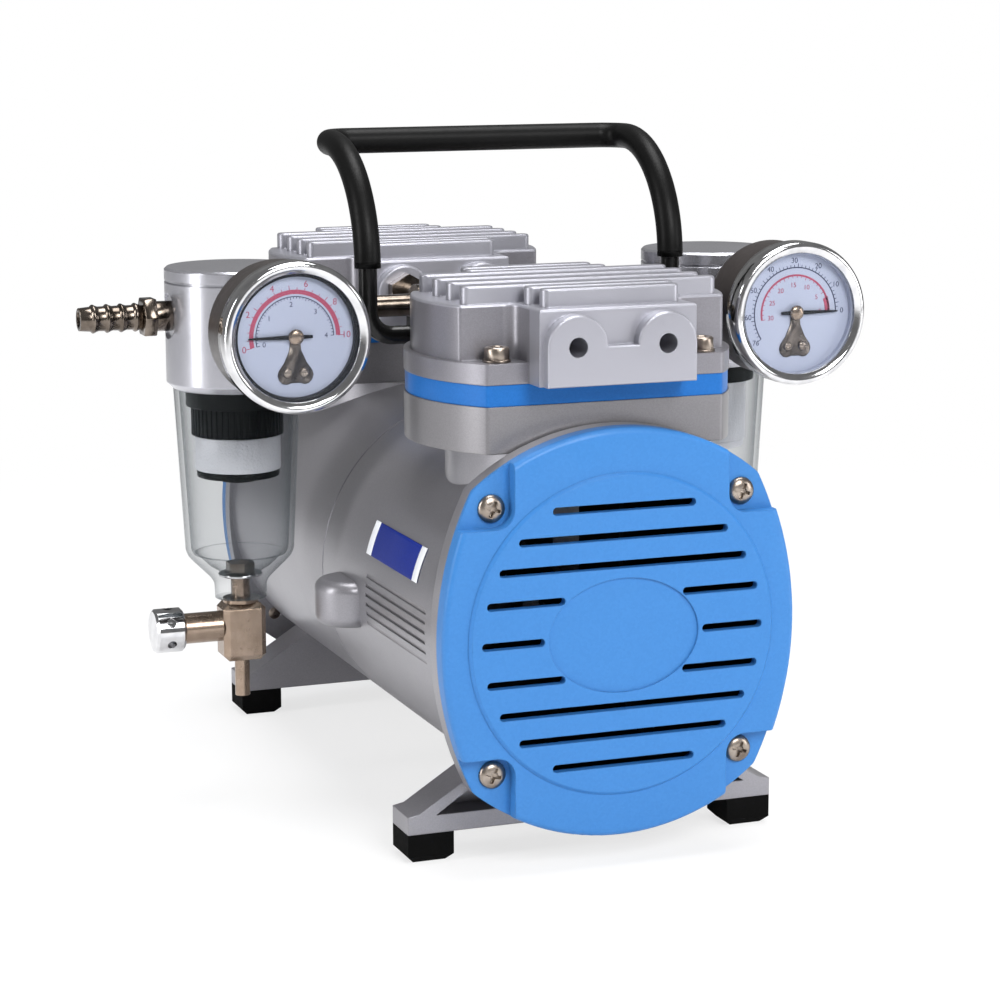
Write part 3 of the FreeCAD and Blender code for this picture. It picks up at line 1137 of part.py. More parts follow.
def pipe(wire, radius, hole=None):
    """A round bar along a path, or a tube where a hole is given."""
    first = wire.OrderedEdges[0]
    start = first.valueAt(first.FirstParameter)
    heading = first.tangentAt(first.FirstParameter)
    rings = [Part.Wire(Part.Circle(start, heading, num(radius)).toShape())]
    if hole is not None:
        rings.append(Part.Wire(Part.Circle(start, heading, num(hole)).toShape()))
    return wire.makePipe(Part.makeFace(rings, "Part::FaceMakerBullseye"))


def make_handle():
    """Bent carry handle, its sleeve, and two clamps that hold it behind the front head."""
    rod = DOC.addObject("Part::Feature", "handle_rod")
    rod.Shape = pipe(bent_path(0, True), ROD_RADIUS)
    sleeve = DOC.addObject("Part::Feature", "handle_sleeve")
    sleeve.Shape = pipe(bent_path(num(SLEEVE_END), False), SLEEVE_RADIUS, ROD_RADIUS)
    NODES.extend([rod, sleeve])
    clamp = Piece("clamp", keep=False)
    back = -(HEAD_Y - HEAD_FLAT)
    block = clamp.sketch("XY", HANDLE_FOOT - CLAMP_TALL)
    block.box(CLAMP_X, back, CLAMP_X + CLAMP_LONG, HANDLE_Y + ROD_RADIUS + CLAMP_WALL)
    clamp.pad(block, CLAMP_TALL * 2)
    hole = clamp.sketch("YZ", CLAMP_X).circle(HANDLE_Y, HANDLE_FOOT, ROD_RADIUS)
    clamp.cut(hole, CLAMP_LONG, back=True)
    pair("handle_clamps", clamp.body, SIDEWAYS)


def hexagon(sketch, x, y, flats):
    """A hexagon with two flats to the sides."""
    corner = flats * (2 / math.sqrt(3))
    return sketch.loop(
        (x, y - corner), (x + flats, y - corner / 2), (x + flats, y + corner / 2),
        (x, y + corner), (x - flats, y + corner / 2), (x - flats, y - corner / 2))


def both_sides(name, right):
    """Keep a right-hand piece and its mirror image on the left."""
    mirrored(f"left_{name}", right, SIDEWAYS)


HEAD_FACE = HEAD_Y - HEAD_FLAT - PORT_REACH
PIPE_SEAT = FILTER_X - FILTER_SEAT


def make_tubes():
    """Pipes that join both heads through a tee with the filter unit, and their nuts."""
    piece = Piece("right_transfer_tube", 0, 0, PORT_HEIGHT)
    run = piece.sketch("XZ", -HEAD_FACE).circle(PORT_X, 0, PIPE_RADIUS)
    piece.pad(run, HEAD_FACE * 2)
    ends = piece.sketch("XZ", -(HEAD_FACE + PIPE_THREAD))
    ends.circle(PORT_X, 0, PORT_RADIUS - THREAD_GAP)
    piece.pad(ends, (HEAD_FACE + PIPE_THREAD) * 2)
    piece.pad(piece.sketch("XZ", -TEE_HALF).circle(PORT_X, 0, TEE_RADIUS), TEE_HALF * 2)
    piece.pad(piece.sketch("YZ", PORT_X).circle(0, 0, TEE_RADIUS), TEE_HALF)
    piece.pad(piece.sketch("YZ", PORT_X).circle(0, 0, PIPE_RADIUS), PIPE_SEAT - PORT_X)
    end = piece.sketch("YZ", PIPE_SEAT).circle(0, 0, SPIGOT_FIT - THREAD_GAP)
    piece.pad(end, SPIGOT_LONG)
    bore = piece.sketch("XZ", -(HEAD_FACE + PIPE_THREAD)).circle(PORT_X, 0, DRAIN_BORE)
    piece.cut(bore, (HEAD_FACE + PIPE_THREAD) * 2, back=True)
    branch = piece.sketch("YZ", PORT_X).circle(0, 0, CHANNEL)
    piece.cut(branch, PIPE_SEAT + SPIGOT_LONG - PORT_X, back=True)
    both_sides("transfer_tube", piece.body)
    nut = Piece("run_nut", 0, 0, PORT_HEIGHT, keep=False)
    ring = hexagon(nut.sketch("XZ", HEAD_FACE - HEX_WIDTH), PORT_X, 0, HEX_FLATS)
    nut.pad(ring.circle(PORT_X, 0, PIPE_RADIUS), HEX_WIDTH)
    branch_nut = Piece("branch_nut", 0, 0, PORT_HEIGHT, keep=False)
    ring = hexagon(branch_nut.sketch("YZ", PIPE_SEAT - HEX_WIDTH), 0, 0, HEX_FLATS)
    branch_nut.pad(ring.circle(0, 0, PIPE_RADIUS), HEX_WIDTH)
    run_nuts = pair("run_nuts", nut.body, LENGTHWAYS, keep=False)
    nuts = item("Compound", "right_tube_nuts", False, Links=[run_nuts, branch_nut.body])
    pair("tube_nuts", nuts, SIDEWAYS)


def make_filter_heads():
    """Filter heads with flats for barb, pipe and gauge, their channels and a hollow below."""
    piece = Piece("right_filter_head", FILTER_X, 0, 0)
    rim = FILTER_TOP - FILTER_RIM
    thread_top = COLLAR_TOP + COLLAR_SPARE
    piece.turn(piece.sketch("XZ").loop(
        (0, CAVITY_TOP), (FILTER_RADIUS - BOWL_WALL * 2, CAVITY_TOP),
        (FILTER_RADIUS - BOWL_WALL * 2, thread_top),
        (COLLAR_RADIUS + THREAD_GAP, thread_top), (COLLAR_RADIUS + THREAD_GAP, FILTER_LOW),
        (FILTER_RADIUS - FILTER_BEVEL, FILTER_LOW), (FILTER_RADIUS, FILTER_LOW + FILTER_BEVEL),
        (FILTER_RADIUS, rim - RIM_GROOVE), (FILTER_RADIUS - RIM_GROOVE, rim - RIM_GROOVE),
        (FILTER_RADIUS - RIM_GROOVE, rim), (FILTER_RADIUS, rim),
        (FILTER_RADIUS, FILTER_TOP - RIM_GROOVE), (FILTER_RADIUS - RIM_GROOVE, FILTER_TOP),
        (0, FILTER_TOP)), "Z")
    boss = piece.sketch("XY", HOLDER_TOP).circle(0, 0, ELEMENT_HOLE)
    piece.pad(boss, CAVITY_TOP - HOLDER_TOP)
    long = FILTER_RADIUS - FILTER_SEAT
    for back, plane in ((False, "YZ"), (True, "YZ"), (False, "XZ")):
        sign = -1 if back else 1
        flat = piece.sketch(plane, FILTER_RADIUS * sign).circle(0, PORT_HEIGHT, SEAT_RADIUS)
        piece.cut(flat, long, back=back)
        thread = piece.sketch(plane, FILTER_SEAT * sign)
        thread.circle(0, PORT_HEIGHT, SPIGOT_FIT)
        piece.cut(thread, SPIGOT_LONG, back=back)
    inlet = piece.sketch("YZ", FILTER_SEAT).circle(0, PORT_HEIGHT, CHANNEL)
    piece.cut(inlet, FILTER_SEAT / 2)
    fall = piece.sketch("XY", PORT_HEIGHT).circle(FILTER_SEAT / 2 + CHANNEL, 0, CHANNEL)
    piece.cut(fall, PORT_HEIGHT - CAVITY_TOP)
    outlet = piece.sketch("YZ", -FILTER_SEAT).circle(0, PORT_HEIGHT, CHANNEL)
    piece.cut(outlet, FILTER_SEAT, back=True)
    sense = piece.sketch("XZ", FILTER_SEAT).circle(0, PORT_HEIGHT, DRAIN_BORE)
    piece.cut(sense, FILTER_SEAT)
    middle = piece.sketch("XY", PORT_HEIGHT).circle(0, 0, CHANNEL)
    piece.cut(middle, PORT_HEIGHT - HOLDER_TOP)
    both_sides("filter_head", piece.body)


def make_bowls():
    """Clear bowls with a threaded collar, a slight taper, a dome and a neck for the drain."""
    piece = Piece("right_bowl", FILTER_X, 0, 0)
    inner = BOWL_TOP_RADIUS - BOWL_WALL
    floor = NECK_TOP + BOWL_WALL
    piece.turn(piece.sketch("XZ").loop(
        (inner, COLLAR_TOP), (inner, FILTER_LOW - BOWL_WALL),
        (BOWL_LOW_RADIUS - BOWL_WALL, BOWL_TAPER_END),
        (NUT_SEAT, floor, DOME_RADIUS, -1), (DRAIN_STUD + THREAD_GAP, floor),
        (DRAIN_STUD + THREAD_GAP, NECK_LOW), (NECK_RADIUS, NECK_LOW), (NECK_RADIUS, NECK_TOP),
        (BOWL_LOW_RADIUS, BOWL_TAPER_END, DOME_RADIUS, 1),
        (BOWL_TOP_RADIUS, FILTER_LOW), (COLLAR_RADIUS, FILTER_LOW),
        (COLLAR_RADIUS, COLLAR_TOP)), "Z")
    both_sides("bowl", piece.body)


def make_elements():
    """Element holders, the filter elements they carry, and the baffles below."""
    holder = Piece("element_holder", FILTER_X, 0, 0, keep=False)
    holder.turn(holder.sketch("XZ").loop(
        (CHANNEL, ELEMENT_TOP), (KNURL_RADIUS, ELEMENT_TOP), (KNURL_RADIUS, HOLDER_STEP),
        (HOLDER_RADIUS, HOLDER_STEP), (HOLDER_RADIUS, HOLDER_TOP), (CHANNEL, HOLDER_TOP)), "Z")
    element = Piece("filter_element", FILTER_X, 0, 0, keep=False)
    ring = element.sketch("XY", ELEMENT_LOW).circle(0, 0, ELEMENT_RADIUS).circle(0, 0, ELEMENT_HOLE)
    element.pad(ring, ELEMENT_TOP - ELEMENT_LOW)
    baffle = Piece("baffle", FILTER_X, 0, 0, keep=False)
    baffle.pad(baffle.sketch("XY", BAFFLE_LOW).circle(0, 0, BAFFLE_RADIUS), ELEMENT_LOW - BAFFLE_LOW)
    boss = baffle.sketch("XY", BAFFLE_END).circle(0, 0, BAFFLE_BOSS)
    baffle.pad(boss, BAFFLE_LOW - BAFFLE_END)
    pair("element_holders", holder.body, SIDEWAYS)
    pair("filter_elements", element.body, SIDEWAYS)
    pair("baffles", baffle.body, SIDEWAYS)


def make_drains():
    """Drain valves under the bowls, the nuts that hold them, and their knobs."""
    floor = NECK_TOP + BOWL_WALL
    valve = Piece("right_drain_valve", FILTER_X, 0, 0)
    block = valve.sketch("XY", DRAIN_LOW).box(-DRAIN_HALF, -DRAIN_DEEP, DRAIN_HALF, DRAIN_DEEP)
    valve.pad(block, DRAIN_TOP - DRAIN_LOW)
    valve.bevel(DRAIN_BEVEL, lambda edge: True)
    valve.pad(valve.sketch("XY", DRAIN_TOP).circle(0, 0, DRAIN_DEEP), NECK_LOW - DRAIN_TOP)
    stud = valve.sketch("XY", NECK_LOW).circle(0, 0, DRAIN_STUD)
    valve.pad(stud, floor + DRAIN_NUT_TALL - NECK_LOW)
    side = valve.sketch("YZ", DRAIN_HALF).circle(0, DRAIN_AXIS, STEM_RADIUS)
    valve.pad(side, STEM_END - DRAIN_HALF)
    tail = valve.sketch("XY", DRAIN_LOW).circle(0, 0, DRAIN_BARB)
    valve.pad(tail, DRAIN_LOW - DRAIN_BARB_LOW, back=True)
    bore = valve.sketch("XY", DRAIN_BARB_LOW).circle(0, 0, DRAIN_BORE)
    valve.cut(bore, floor + DRAIN_NUT_TALL - DRAIN_BARB_LOW, back=True)
    seat = valve.sketch("YZ", STEM_END).circle(0, DRAIN_AXIS, KNOB_SPINDLE + RUN_GAP)
    valve.cut(seat, STEM_END - SPINDLE_START)
    nut = Piece("drain_nut", FILTER_X, 0, 0, keep=False)
    ring = hexagon(nut.sketch("XY", floor), 0, 0, DRAIN_NUT)
    nut.pad(ring.circle(0, 0, DRAIN_STUD + THREAD_GAP), DRAIN_NUT_TALL)
    knob = Piece("right_drain_knob", FILTER_X, 0, DRAIN_AXIS)
    start = STEM_END + KNOB_GAP
    knob.pad(knob.sketch("YZ", start).circle(0, 0, KNOB_RADIUS), KNOB_END - start)
    knob.bevel(KNOB_HOLE / 2, lambda edge: at(edge, "X", KNOB_END) or at(edge, "X", start))
    knob.pad(knob.sketch("YZ", SPINDLE_START).circle(0, 0, KNOB_SPINDLE), start - SPINDLE_START)
    hole = knob.sketch("XY", KNOB_RADIUS).circle((start + KNOB_END) / 2, 0, KNOB_HOLE)
    first = knob.cut(hole, KNOB_RADIUS / 2)
    knob.polar([first], "X", 6)
    both_sides("drain_valve", valve.body)
    pair("drain_nuts", nut.body, SIDEWAYS)
    both_sides("drain_knob", knob.body)


def make_barbs():
    """Hose barbs with a hexagon and four crests."""
    piece = Piece("right_hose_barb", FILTER_X, 0, PORT_HEIGHT)
    neck = BARB_START - HEX_WIDTH
    crests = []
    step = (BARB_END - BARB_START) / (BARB_COUNT + 0.5)
    for index in range(BARB_COUNT):
        back = BARB_START + step * (index + 0.5)
        crests.extend([(back, BARB_ROOT), (back, BARB_CREST)])
    piece.turn(piece.sketch("XZ").loop(
        (FILTER_SEAT - SPIGOT_LONG, BARB_BORE), (FILTER_SEAT - SPIGOT_LONG, SPIGOT_FIT - THREAD_GAP),
        (FILTER_SEAT, SPIGOT_FIT - THREAD_GAP), (FILTER_SEAT, BARB_NECK), (neck, BARB_NECK),
        (neck, BARB_ROOT), *crests, (BARB_END, BARB_ROOT), (BARB_END, BARB_BORE)), "X")
    ring = hexagon(piece.sketch("YZ", neck), 0, 0, HEX_FLATS).circle(0, 0, BARB_BORE)
    piece.pad(ring, HEX_WIDTH)
    both_sides("hose_barb", piece.body)


DIAL_FACE = GAUGE_FACE - DIAL_DEPTH
DIAL_BACK = DIAL_FACE - DIAL_THICK
GLASS_FRONT = GAUGE_FACE - BEZEL_LIP
GLASS_BACK = GLASS_FRONT - GLASS_THICK
CASE_BACK = GAUGE_FACE - CASE_DEPTH


def make_gauges():
    """Round gauges on the filter heads: case, movement, bezel, glass, dial and pointer."""
    hub = DIAL_FACE + POINTER_GAP
    inner = CASE_RADIUS - CASE_WALL
    case = Piece("right_gauge_case", FILTER_X, 0, PORT_HEIGHT)
    case.turn(case.sketch("YZ").loop(
        (-(FILTER_SEAT - SPIGOT_LONG), DRAIN_BORE),
        (-(FILTER_SEAT - SPIGOT_LONG), SPIGOT_FIT - THREAD_GAP),
        (-FILTER_SEAT, SPIGOT_FIT - THREAD_GAP), (-FILTER_SEAT, STEM_GAUGE), (-CASE_BACK, STEM_GAUGE),
        (-CASE_BACK, CASE_RADIUS - CASE_ROUND), (-(CASE_BACK + CASE_ROUND), CASE_RADIUS, CASE_ROUND, 1),
        (-GLASS_BACK, CASE_RADIUS), (-GLASS_BACK, inner), (-DIAL_BACK, inner),
        (-DIAL_BACK, inner - DIAL_SHELF), (-(CASE_BACK + CASE_ROUND), inner - DIAL_SHELF),
        (-(CASE_BACK + CASE_WALL), inner - CASE_ROUND), (-(CASE_BACK + CASE_WALL), DRAIN_BORE)), "Y")
    middle = (FILTER_SEAT + CASE_BACK) / 2
    ring = hexagon(case.sketch("XZ", middle), 0, 0, HEX_FLATS).circle(0, 0, DRAIN_BORE)
    case.pad(ring, HEX_WIDTH)
    movement = Piece("gauge_movement", FILTER_X, 0, PORT_HEIGHT, keep=False)
    core = movement.sketch("XZ", CASE_BACK + CASE_WALL).circle(0, 0, MOVEMENT_RADIUS)
    movement.pad(core, DIAL_BACK - MOVEMENT_GAP - CASE_BACK - CASE_WALL)
    seat = movement.sketch("XZ", DIAL_BACK - MOVEMENT_GAP).circle(0, 0, SPINDLE_RADIUS + RUN_GAP)
    movement.cut(seat, SPINDLE_LENGTH)
    bezel = Piece("right_gauge_bezel", FILTER_X, 0, PORT_HEIGHT)
    bezel.turn(bezel.sketch("YZ").loop(
        (-(GAUGE_FACE - BEZEL_WIDTH), CASE_RADIUS), (-(GAUGE_FACE - BEZEL_WIDTH), BEZEL_RADIUS),
        (-(GAUGE_FACE - BEZEL_LIP), BEZEL_RADIUS), (-GAUGE_FACE, BEZEL_RADIUS - BEZEL_LIP, BEZEL_LIP, -1),
        (-GAUGE_FACE, BEZEL_OPENING + BEZEL_LIP / 2), (-GLASS_FRONT, BEZEL_OPENING),
        (-GLASS_FRONT, CASE_RADIUS)), "Y")
    glass = Piece("right_gauge_glass", FILTER_X, 0, PORT_HEIGHT)
    disc = glass.sketch("XZ", GLASS_BACK).circle(0, 0, CASE_RADIUS - GLASS_GAP)
    glass.pad(disc, GLASS_THICK)
    dial = Piece("right_gauge_dial", FILTER_X, 0, PORT_HEIGHT)
    disc = dial.sketch("XZ", DIAL_BACK).circle(0, 0, inner - GLASS_GAP).circle(0, 0, DIAL_HOLE)
    dial.pad(disc, DIAL_THICK)
    pointer = Piece("right_gauge_pointer", FILTER_X, 0, PORT_HEIGHT)
    needle = pointer.sketch("XZ", hub)
    needle.loop(
        (-POINTER_TAIL, -POINTER_WIDE), (0, -POINTER_WIDE), (POINTER_LENGTH, -POINTER_TIP),
        (POINTER_LENGTH, POINTER_TIP), (0, POINTER_WIDE), (-POINTER_TAIL, POINTER_WIDE))
    pointer.pad(needle, POINTER_THICK)
    pointer.pad(pointer.sketch("XZ", hub).circle(0, 0, POINTER_HUB), HUB_TALL)
    pointer.pad(pointer.sketch("XZ", hub).circle(0, 0, SPINDLE_RADIUS), SPINDLE_LENGTH, back=True)
    pair("gauge_movements", movement.body, SIDEWAYS)
    for name, piece in (
            ("gauge_case", case), ("gauge_bezel", bezel), ("gauge_glass", glass),
            ("gauge_dial", dial), ("gauge_pointer", pointer)):
        both_sides(name, piece.body)


def make_terminal_box():
    """Terminal box on the right of the rear half, with a rocker switch and a cord gland."""
    plate = BOX_FACE - BOX_WALL
    box = Piece("box_body", 0, 0, AXIS, keep=False)
    low = HOUSING_RADIUS - BOX_START
    outline = box.sketch("YZ", low)
    outline.box(BOX_Y - BOX_HALF_LONG, -BOX_HALF_TALL, BOX_Y + BOX_HALF_LONG, BOX_HALF_TALL)
    box.pad(outline, BOX_FACE - low)
    box.round(BOX_ROUND, lambda edge: along(edge, "X") or at(edge, "X", BOX_FACE))
    hollow = box.sketch("YZ", low)
    hollow.box(BOX_Y - BOX_HALF_LONG + BOX_WALL, -BOX_HALF_TALL + BOX_WALL,
               BOX_Y + BOX_HALF_LONG - BOX_WALL, BOX_HALF_TALL - BOX_WALL)
    box.cut(hollow, plate - low, back=True)
    side = ROCKER_HALF + ROCKER_GAP
    tall = leg(ROCKER_RADIUS, plate - ROCKER_PIVOT) + ROCKER_GAP
    ears = box.sketch("YZ", plate)
    ears.box(ROCKER_Y - side - EAR, -EAR * 2, ROCKER_Y - side, EAR * 2)
    ears.box(ROCKER_Y + side, -EAR * 2, ROCKER_Y + side + EAR, EAR * 2)
    box.pad(ears, plate - ROCKER_PIVOT + EAR * 2, back=True)
    window = box.sketch("YZ", BOX_FACE)
    window.box(ROCKER_Y - side, -tall, ROCKER_Y + side, tall)
    box.cut(window, BOX_WALL)
    pivot = box.sketch("XZ", -(ROCKER_Y + side + EAR)).circle(ROCKER_PIVOT, 0, ROCKER_PIN + RUN_GAP)
    box.cut(pivot, (side + EAR) * 2, back=True)
    gland_hole = box.sketch("XZ", -(BOX_Y + BOX_HALF_LONG))
    gland_hole.circle(GLAND_X, 0, GLAND_THREAD + THREAD_GAP)
    box.cut(gland_hole, BOX_WALL, back=True)
    drum = item("Cylinder", "box_limit", False, Radius=HOUSING_RADIUS, Height=COVER_BACK)
    put(drum, 0, COVER_BACK, AXIS, Rotation(SIDEWAYS, 90))
    item("Cut", "terminal_box", Base=box.body, Tool=drum)
    rocker = Piece("switch_rocker", ROCKER_PIVOT, ROCKER_Y, AXIS)
    rocker.body.Placement = FreeCAD.Placement(
        rocker.body.Placement.Base, Rotation(LENGTHWAYS, num(ROCKER_TILT)))
    bind(rocker.body, "Placement.Rotation.Angle", ROCKER_TILT)
    end = leg(ROCKER_RADIUS, ROCKER_RISE)
    back = leg(ROCKER_RADIUS, ROCKER_BACK)
    rocker.pad(rocker.sketch("XZ").loop(
        (-ROCKER_BACK, -back), (ROCKER_RISE, -end, ROCKER_RADIUS, 1), (ROCKER_DIP, 0),
        (ROCKER_RISE, end), (-ROCKER_BACK, back, ROCKER_RADIUS, 1)), ROCKER_HALF * 2, both=True)
    pin = rocker.sketch("XZ").circle(0, 0, ROCKER_PIN)
    rocker.pad(pin, (side + EAR) * 2, both=True)
    gland = Piece("cord_gland", GLAND_X, BOX_Y + BOX_HALF_LONG, AXIS)
    gland.turn(gland.sketch("YZ").loop(
        (-BOX_WALL, GLAND_BORE), (GLAND_REACH, GLAND_BORE), (GLAND_REACH, GLAND_THREAD),
        (GLAND_REACH * 0.45, GLAND_RADIUS), (0, GLAND_RADIUS), (0, GLAND_THREAD),
        (-BOX_WALL, GLAND_THREAD)), "Y")


def finish():
    """Check every object and write one file for each sub-part."""
    DOC.recompute()
    for thing in DOC.Objects:
        bad = [state for state in thing.State if state in ("Invalid", "Error")]
        if bad:
            raise RuntimeError(f"{thing.Label}: {bad}")
    os.makedirs("parts", exist_ok=True)
    for node in NODES:
        shape = node.Shape
        if shape.isNull() or not shape.isValid() or not shape.Solids:
            raise RuntimeError(f"{node.Label}: no valid solid")
        shape.exportStep(f"parts/{node.Label}.step")
        print(f"{node.Label}: {len(shape.Solids)} solids, {shape.Volume / 1000:.2f} cm3")


make_covers()
make_cover_screws()
make_housings()
make_feet()
make_cylinders()
make_valve_plates()
make_heads()
make_head_screws()
make_motor()
make_shaft()
make_eccentrics()
make_fans()
make_rods()
make_handle()
make_tubes()
make_filter_heads()
make_bowls()
make_elements()
make_drains()
make_barbs()
make_gauges()
make_terminal_box()
finish()
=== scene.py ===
"""Finishes and fine pieces of a twin-head vacuum pump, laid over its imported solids.

The pump's own frame is used throughout: Z is up, the front cover faces -Y, and the filter units
stand at the left (-X) and the right (+X). Sizes are in millimetres, and meshes in metres.
"""
import logging
import math
from dataclasses import dataclass
from enum import Enum
from functools import cache, cached_property
from typing import Callable, Sequence

import bpy
from mathutils import Matrix, Vector


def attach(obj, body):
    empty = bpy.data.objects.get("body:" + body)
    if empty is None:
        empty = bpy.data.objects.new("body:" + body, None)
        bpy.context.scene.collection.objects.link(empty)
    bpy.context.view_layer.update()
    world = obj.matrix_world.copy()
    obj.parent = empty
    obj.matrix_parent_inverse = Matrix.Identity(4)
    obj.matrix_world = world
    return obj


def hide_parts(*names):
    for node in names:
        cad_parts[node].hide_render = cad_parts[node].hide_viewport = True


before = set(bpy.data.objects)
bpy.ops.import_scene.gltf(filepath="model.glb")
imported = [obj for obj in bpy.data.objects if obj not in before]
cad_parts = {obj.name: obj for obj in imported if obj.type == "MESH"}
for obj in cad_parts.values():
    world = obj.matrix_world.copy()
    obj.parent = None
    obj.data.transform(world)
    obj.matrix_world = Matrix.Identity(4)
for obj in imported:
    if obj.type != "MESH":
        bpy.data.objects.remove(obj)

LOG = logging.getLogger("vacuum_pump")
MM = 0.001
DOUBLES = 0.002 * MM
SOLID_CREASE = math.radians(32)
BEVEL_CREASE = math.radians(30)
SMOOTH_CREASE = math.radians(40)
# Places that several groups share: the filter units and gauges across the pump, the height of
# the gauges' and barbs' axes, and the height of the motor's axis.
UNIT_X = 93.6
PORT_Z = 177.0
AXIS_Z = 80.0
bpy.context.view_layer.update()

Colour = tuple[float, float, float]
Point = Sequence[float]
Piece = bpy.types.Object


class Side(Enum):
    """The side of the pump on which a filter unit stands."""

    LEFT = -1
    RIGHT = 1

    @property
    def word(self) -> str:
        """The word that starts the names of this side's pieces."""
        return self.name.lower()

    @property
    def x(self) -> float:
        """Place of this side's filter unit and gauge across the pump."""
        return UNIT_X * self.value


# Shader maths


def arithmetic(operation: str, swapped: bool = False) -> Callable[..., "Val"]:
    """A method that combines a value with another one, or a number, in a Math node.

    Args:
        operation: The Math node's operation.
        swapped: Whether the other one comes first.

    Returns:
        The method.
    """
    def method(self: "Val", other: "Val | float") -> "Val":
        """The result of the operation."""
        first, second = (other, self) if swapped else (self, other)
        return self.graph.node("ShaderNodeMath", {"operation": operation}, {0: first, 1: second})
    return method


class Val:
    """A shader socket that does arithmetic by adding Math nodes.

    Args:
        graph: The graph to which it belongs.
        socket: An output socket.
    """

    def __init__(self, graph: "Graph", socket: bpy.types.NodeSocket) -> None:
        """Keep the graph and the socket."""
        self.graph = graph
        self.socket = socket

    __add__ = arithmetic("ADD")
    __mul__ = arithmetic("MULTIPLY")
    __sub__ = arithmetic("SUBTRACT")
    __rsub__ = arithmetic("SUBTRACT", swapped=True)
    most = arithmetic("MAXIMUM")

    def size(self) -> "Val":
        """The value without its sign."""
        return self.graph.node("ShaderNodeMath", {"operation": "ABSOLUTE"}, {0: self})

    def above(self, edge: float, softness: float) -> "Val":
        """A mask that rises from 0 to 1 round an edge value.

        Args:
            edge: The value at the middle of the rise.
            softness: The width of the rise.

        Returns:
            The mask.
        """
        return self.graph.node(
            "ShaderNodeMapRange", {"interpolation_type": "SMOOTHSTEP"},
            {"Value": self, "From Min": edge - softness / 2, "From Max": edge + softness / 2})


class Graph:
    """The node tree of a material or a world.

    Args:
        owner: The material or world.
    """

    def __init__(self, owner: bpy.types.Material | bpy.types.World) -> None:
        """Empty the owner's node tree."""
        owner.use_nodes = True
        self.tree = owner.node_tree
        self.tree.nodes.clear()

    @cached_property
    def place(self) -> Val:
        """The object coordinates."""
        return self.node("ShaderNodeTexCoord", output="Object")

    def node(self, kind: str, settings: dict | None = None, values: dict | None = None,
             output: str | int = 0) -> Val:
        """Add a node.

        Args:
            kind: The node's type.
            settings: Attributes, set first.
            values: Numbers, colours or links for its input sockets.
            output: The output socket that is handed back.

        Returns:
            The node's output.
        """
        item = self.tree.nodes.new(kind)
        for name, setting in (settings or {}).items():
            setattr(item, name, setting)
        for name, value in (values or {}).items():
            socket = item.inputs[name]
            if isinstance(value, Val):
                self.tree.links.new(value.socket, socket)
            elif socket.type == "RGBA" and len(value) == 3:
                socket.default_value = (*value, 1.0)
            else:
                socket.default_value = value
        return Val(self, item.outputs[output])

    def scaled(self, scale: Point) -> Val:
        """The object coordinates, scaled."""
        return self.node("ShaderNodeMapping", {}, {"Vector": self.place, "Scale": scale})

    def noise(self, size: float, detail: float = 3.0, stretch: Point = (1.0, 1.0, 1.0)) -> Val:
        """Cloudy noise.

        Args:
            size: Rough size of its features in metres.
            detail: Octaves.
            stretch: How much the features are squeezed along each axis.

        Returns:
            A value about 0.5.
        """
        where = self.scaled([factor / size for factor in stretch])
        return self.node("ShaderNodeTexNoise", {},
                         {"Vector": where, "Scale": 1.0, "Detail": detail}, "Fac")

    def cells(self, size: float) -> Val:
        """A random value for each cell of about a given size."""
        where = self.scaled((1.0 / size,) * 3)
        colour = self.node("ShaderNodeTexVoronoi", {}, {"Vector": where, "Scale": 1.0}, "Color")
        return self.node("ShaderNodeSeparateColor", {}, {"Color": colour}, "Red")

    def axis(self, name: str) -> Val:
        """One of the object coordinates, X, Y or Z."""
        return self.node("ShaderNodeSeparateXYZ", {}, {0: self.place}, name)

    def mix(self, factor: Val | float, low: Val | Colour, high: Val | Colour) -> Val:
        """Mix two colours.

        Args:
            factor: A mask or number.
            low: The colour at 0.
            high: The colour at 1.

        Returns:
            The mixed colour.
        """
        return self.node("ShaderNodeMix", {"data_type": "RGBA"},
                         {0: factor, 6: low, 7: high}, 2)

    def rounded(self, radius: float) -> Val:
        """A normal that rounds the piece's sharp edges."""
        return self.node("ShaderNodeBevel", {"samples": 4}, {"Radius": radius})

    def bump(self, height: Val, depth: float, before: Val | None = None) -> Val:
        """A bump.

        Args:
            height: The height, from 0 to 1.
            depth: Its depth in metres.
            before: A normal that this bump adds to.

        Returns:
            The bent normal.
        """
        values = {"Height": height, "Distance": depth}
        if before is not None:
            values["Normal"] = before
        return self.node("ShaderNodeBump", {}, values)

    def principled(self, values: dict) -> Val:
        """A Principled shader with the given values."""
        return self.node("ShaderNodeBsdfPrincipled", {}, values)

    def mixed(self, share: Val, first: Val, second: Val) -> Val:
        """A mix of two shaders, by the second one's share."""
        return self.node("ShaderNodeMixShader", {}, {0: share, 1: first, 2: second})

    def close(self, shader: Val, output: str = "ShaderNodeOutputMaterial") -> None:
        """Link a shader to the output of the material or world."""
        out = self.tree.nodes.new(output)
        self.tree.links.new(shader.socket, out.inputs["Surface"])


# Finishes


@dataclass(frozen=True)
class Finish:
    """A finish of two shades, made into a material at its first use.

    Lengths are in metres. Where a kind of finish has them, metal is the share of metal in its
    shine, rough its roughness, edge the radius by which its edges look rounded, and shine the
    strength of its reflection seen face on.

    Attributes:
        name: The finish's name.
        dark: Its darker colour.
        light: Its lighter colour.
    """

    name: str
    dark: Colour
    light: Colour

    def shader(self, graph: Graph) -> Val:
        """The finish's shader, which each kind of finish makes."""
        raise NotImplementedError

    @cache
    def made(self) -> bpy.types.Material:
        """The finish as a material."""
        material = bpy.data.materials.new(self.name)
        graph = Graph(material)
        graph.close(self.shader(graph))
        return material


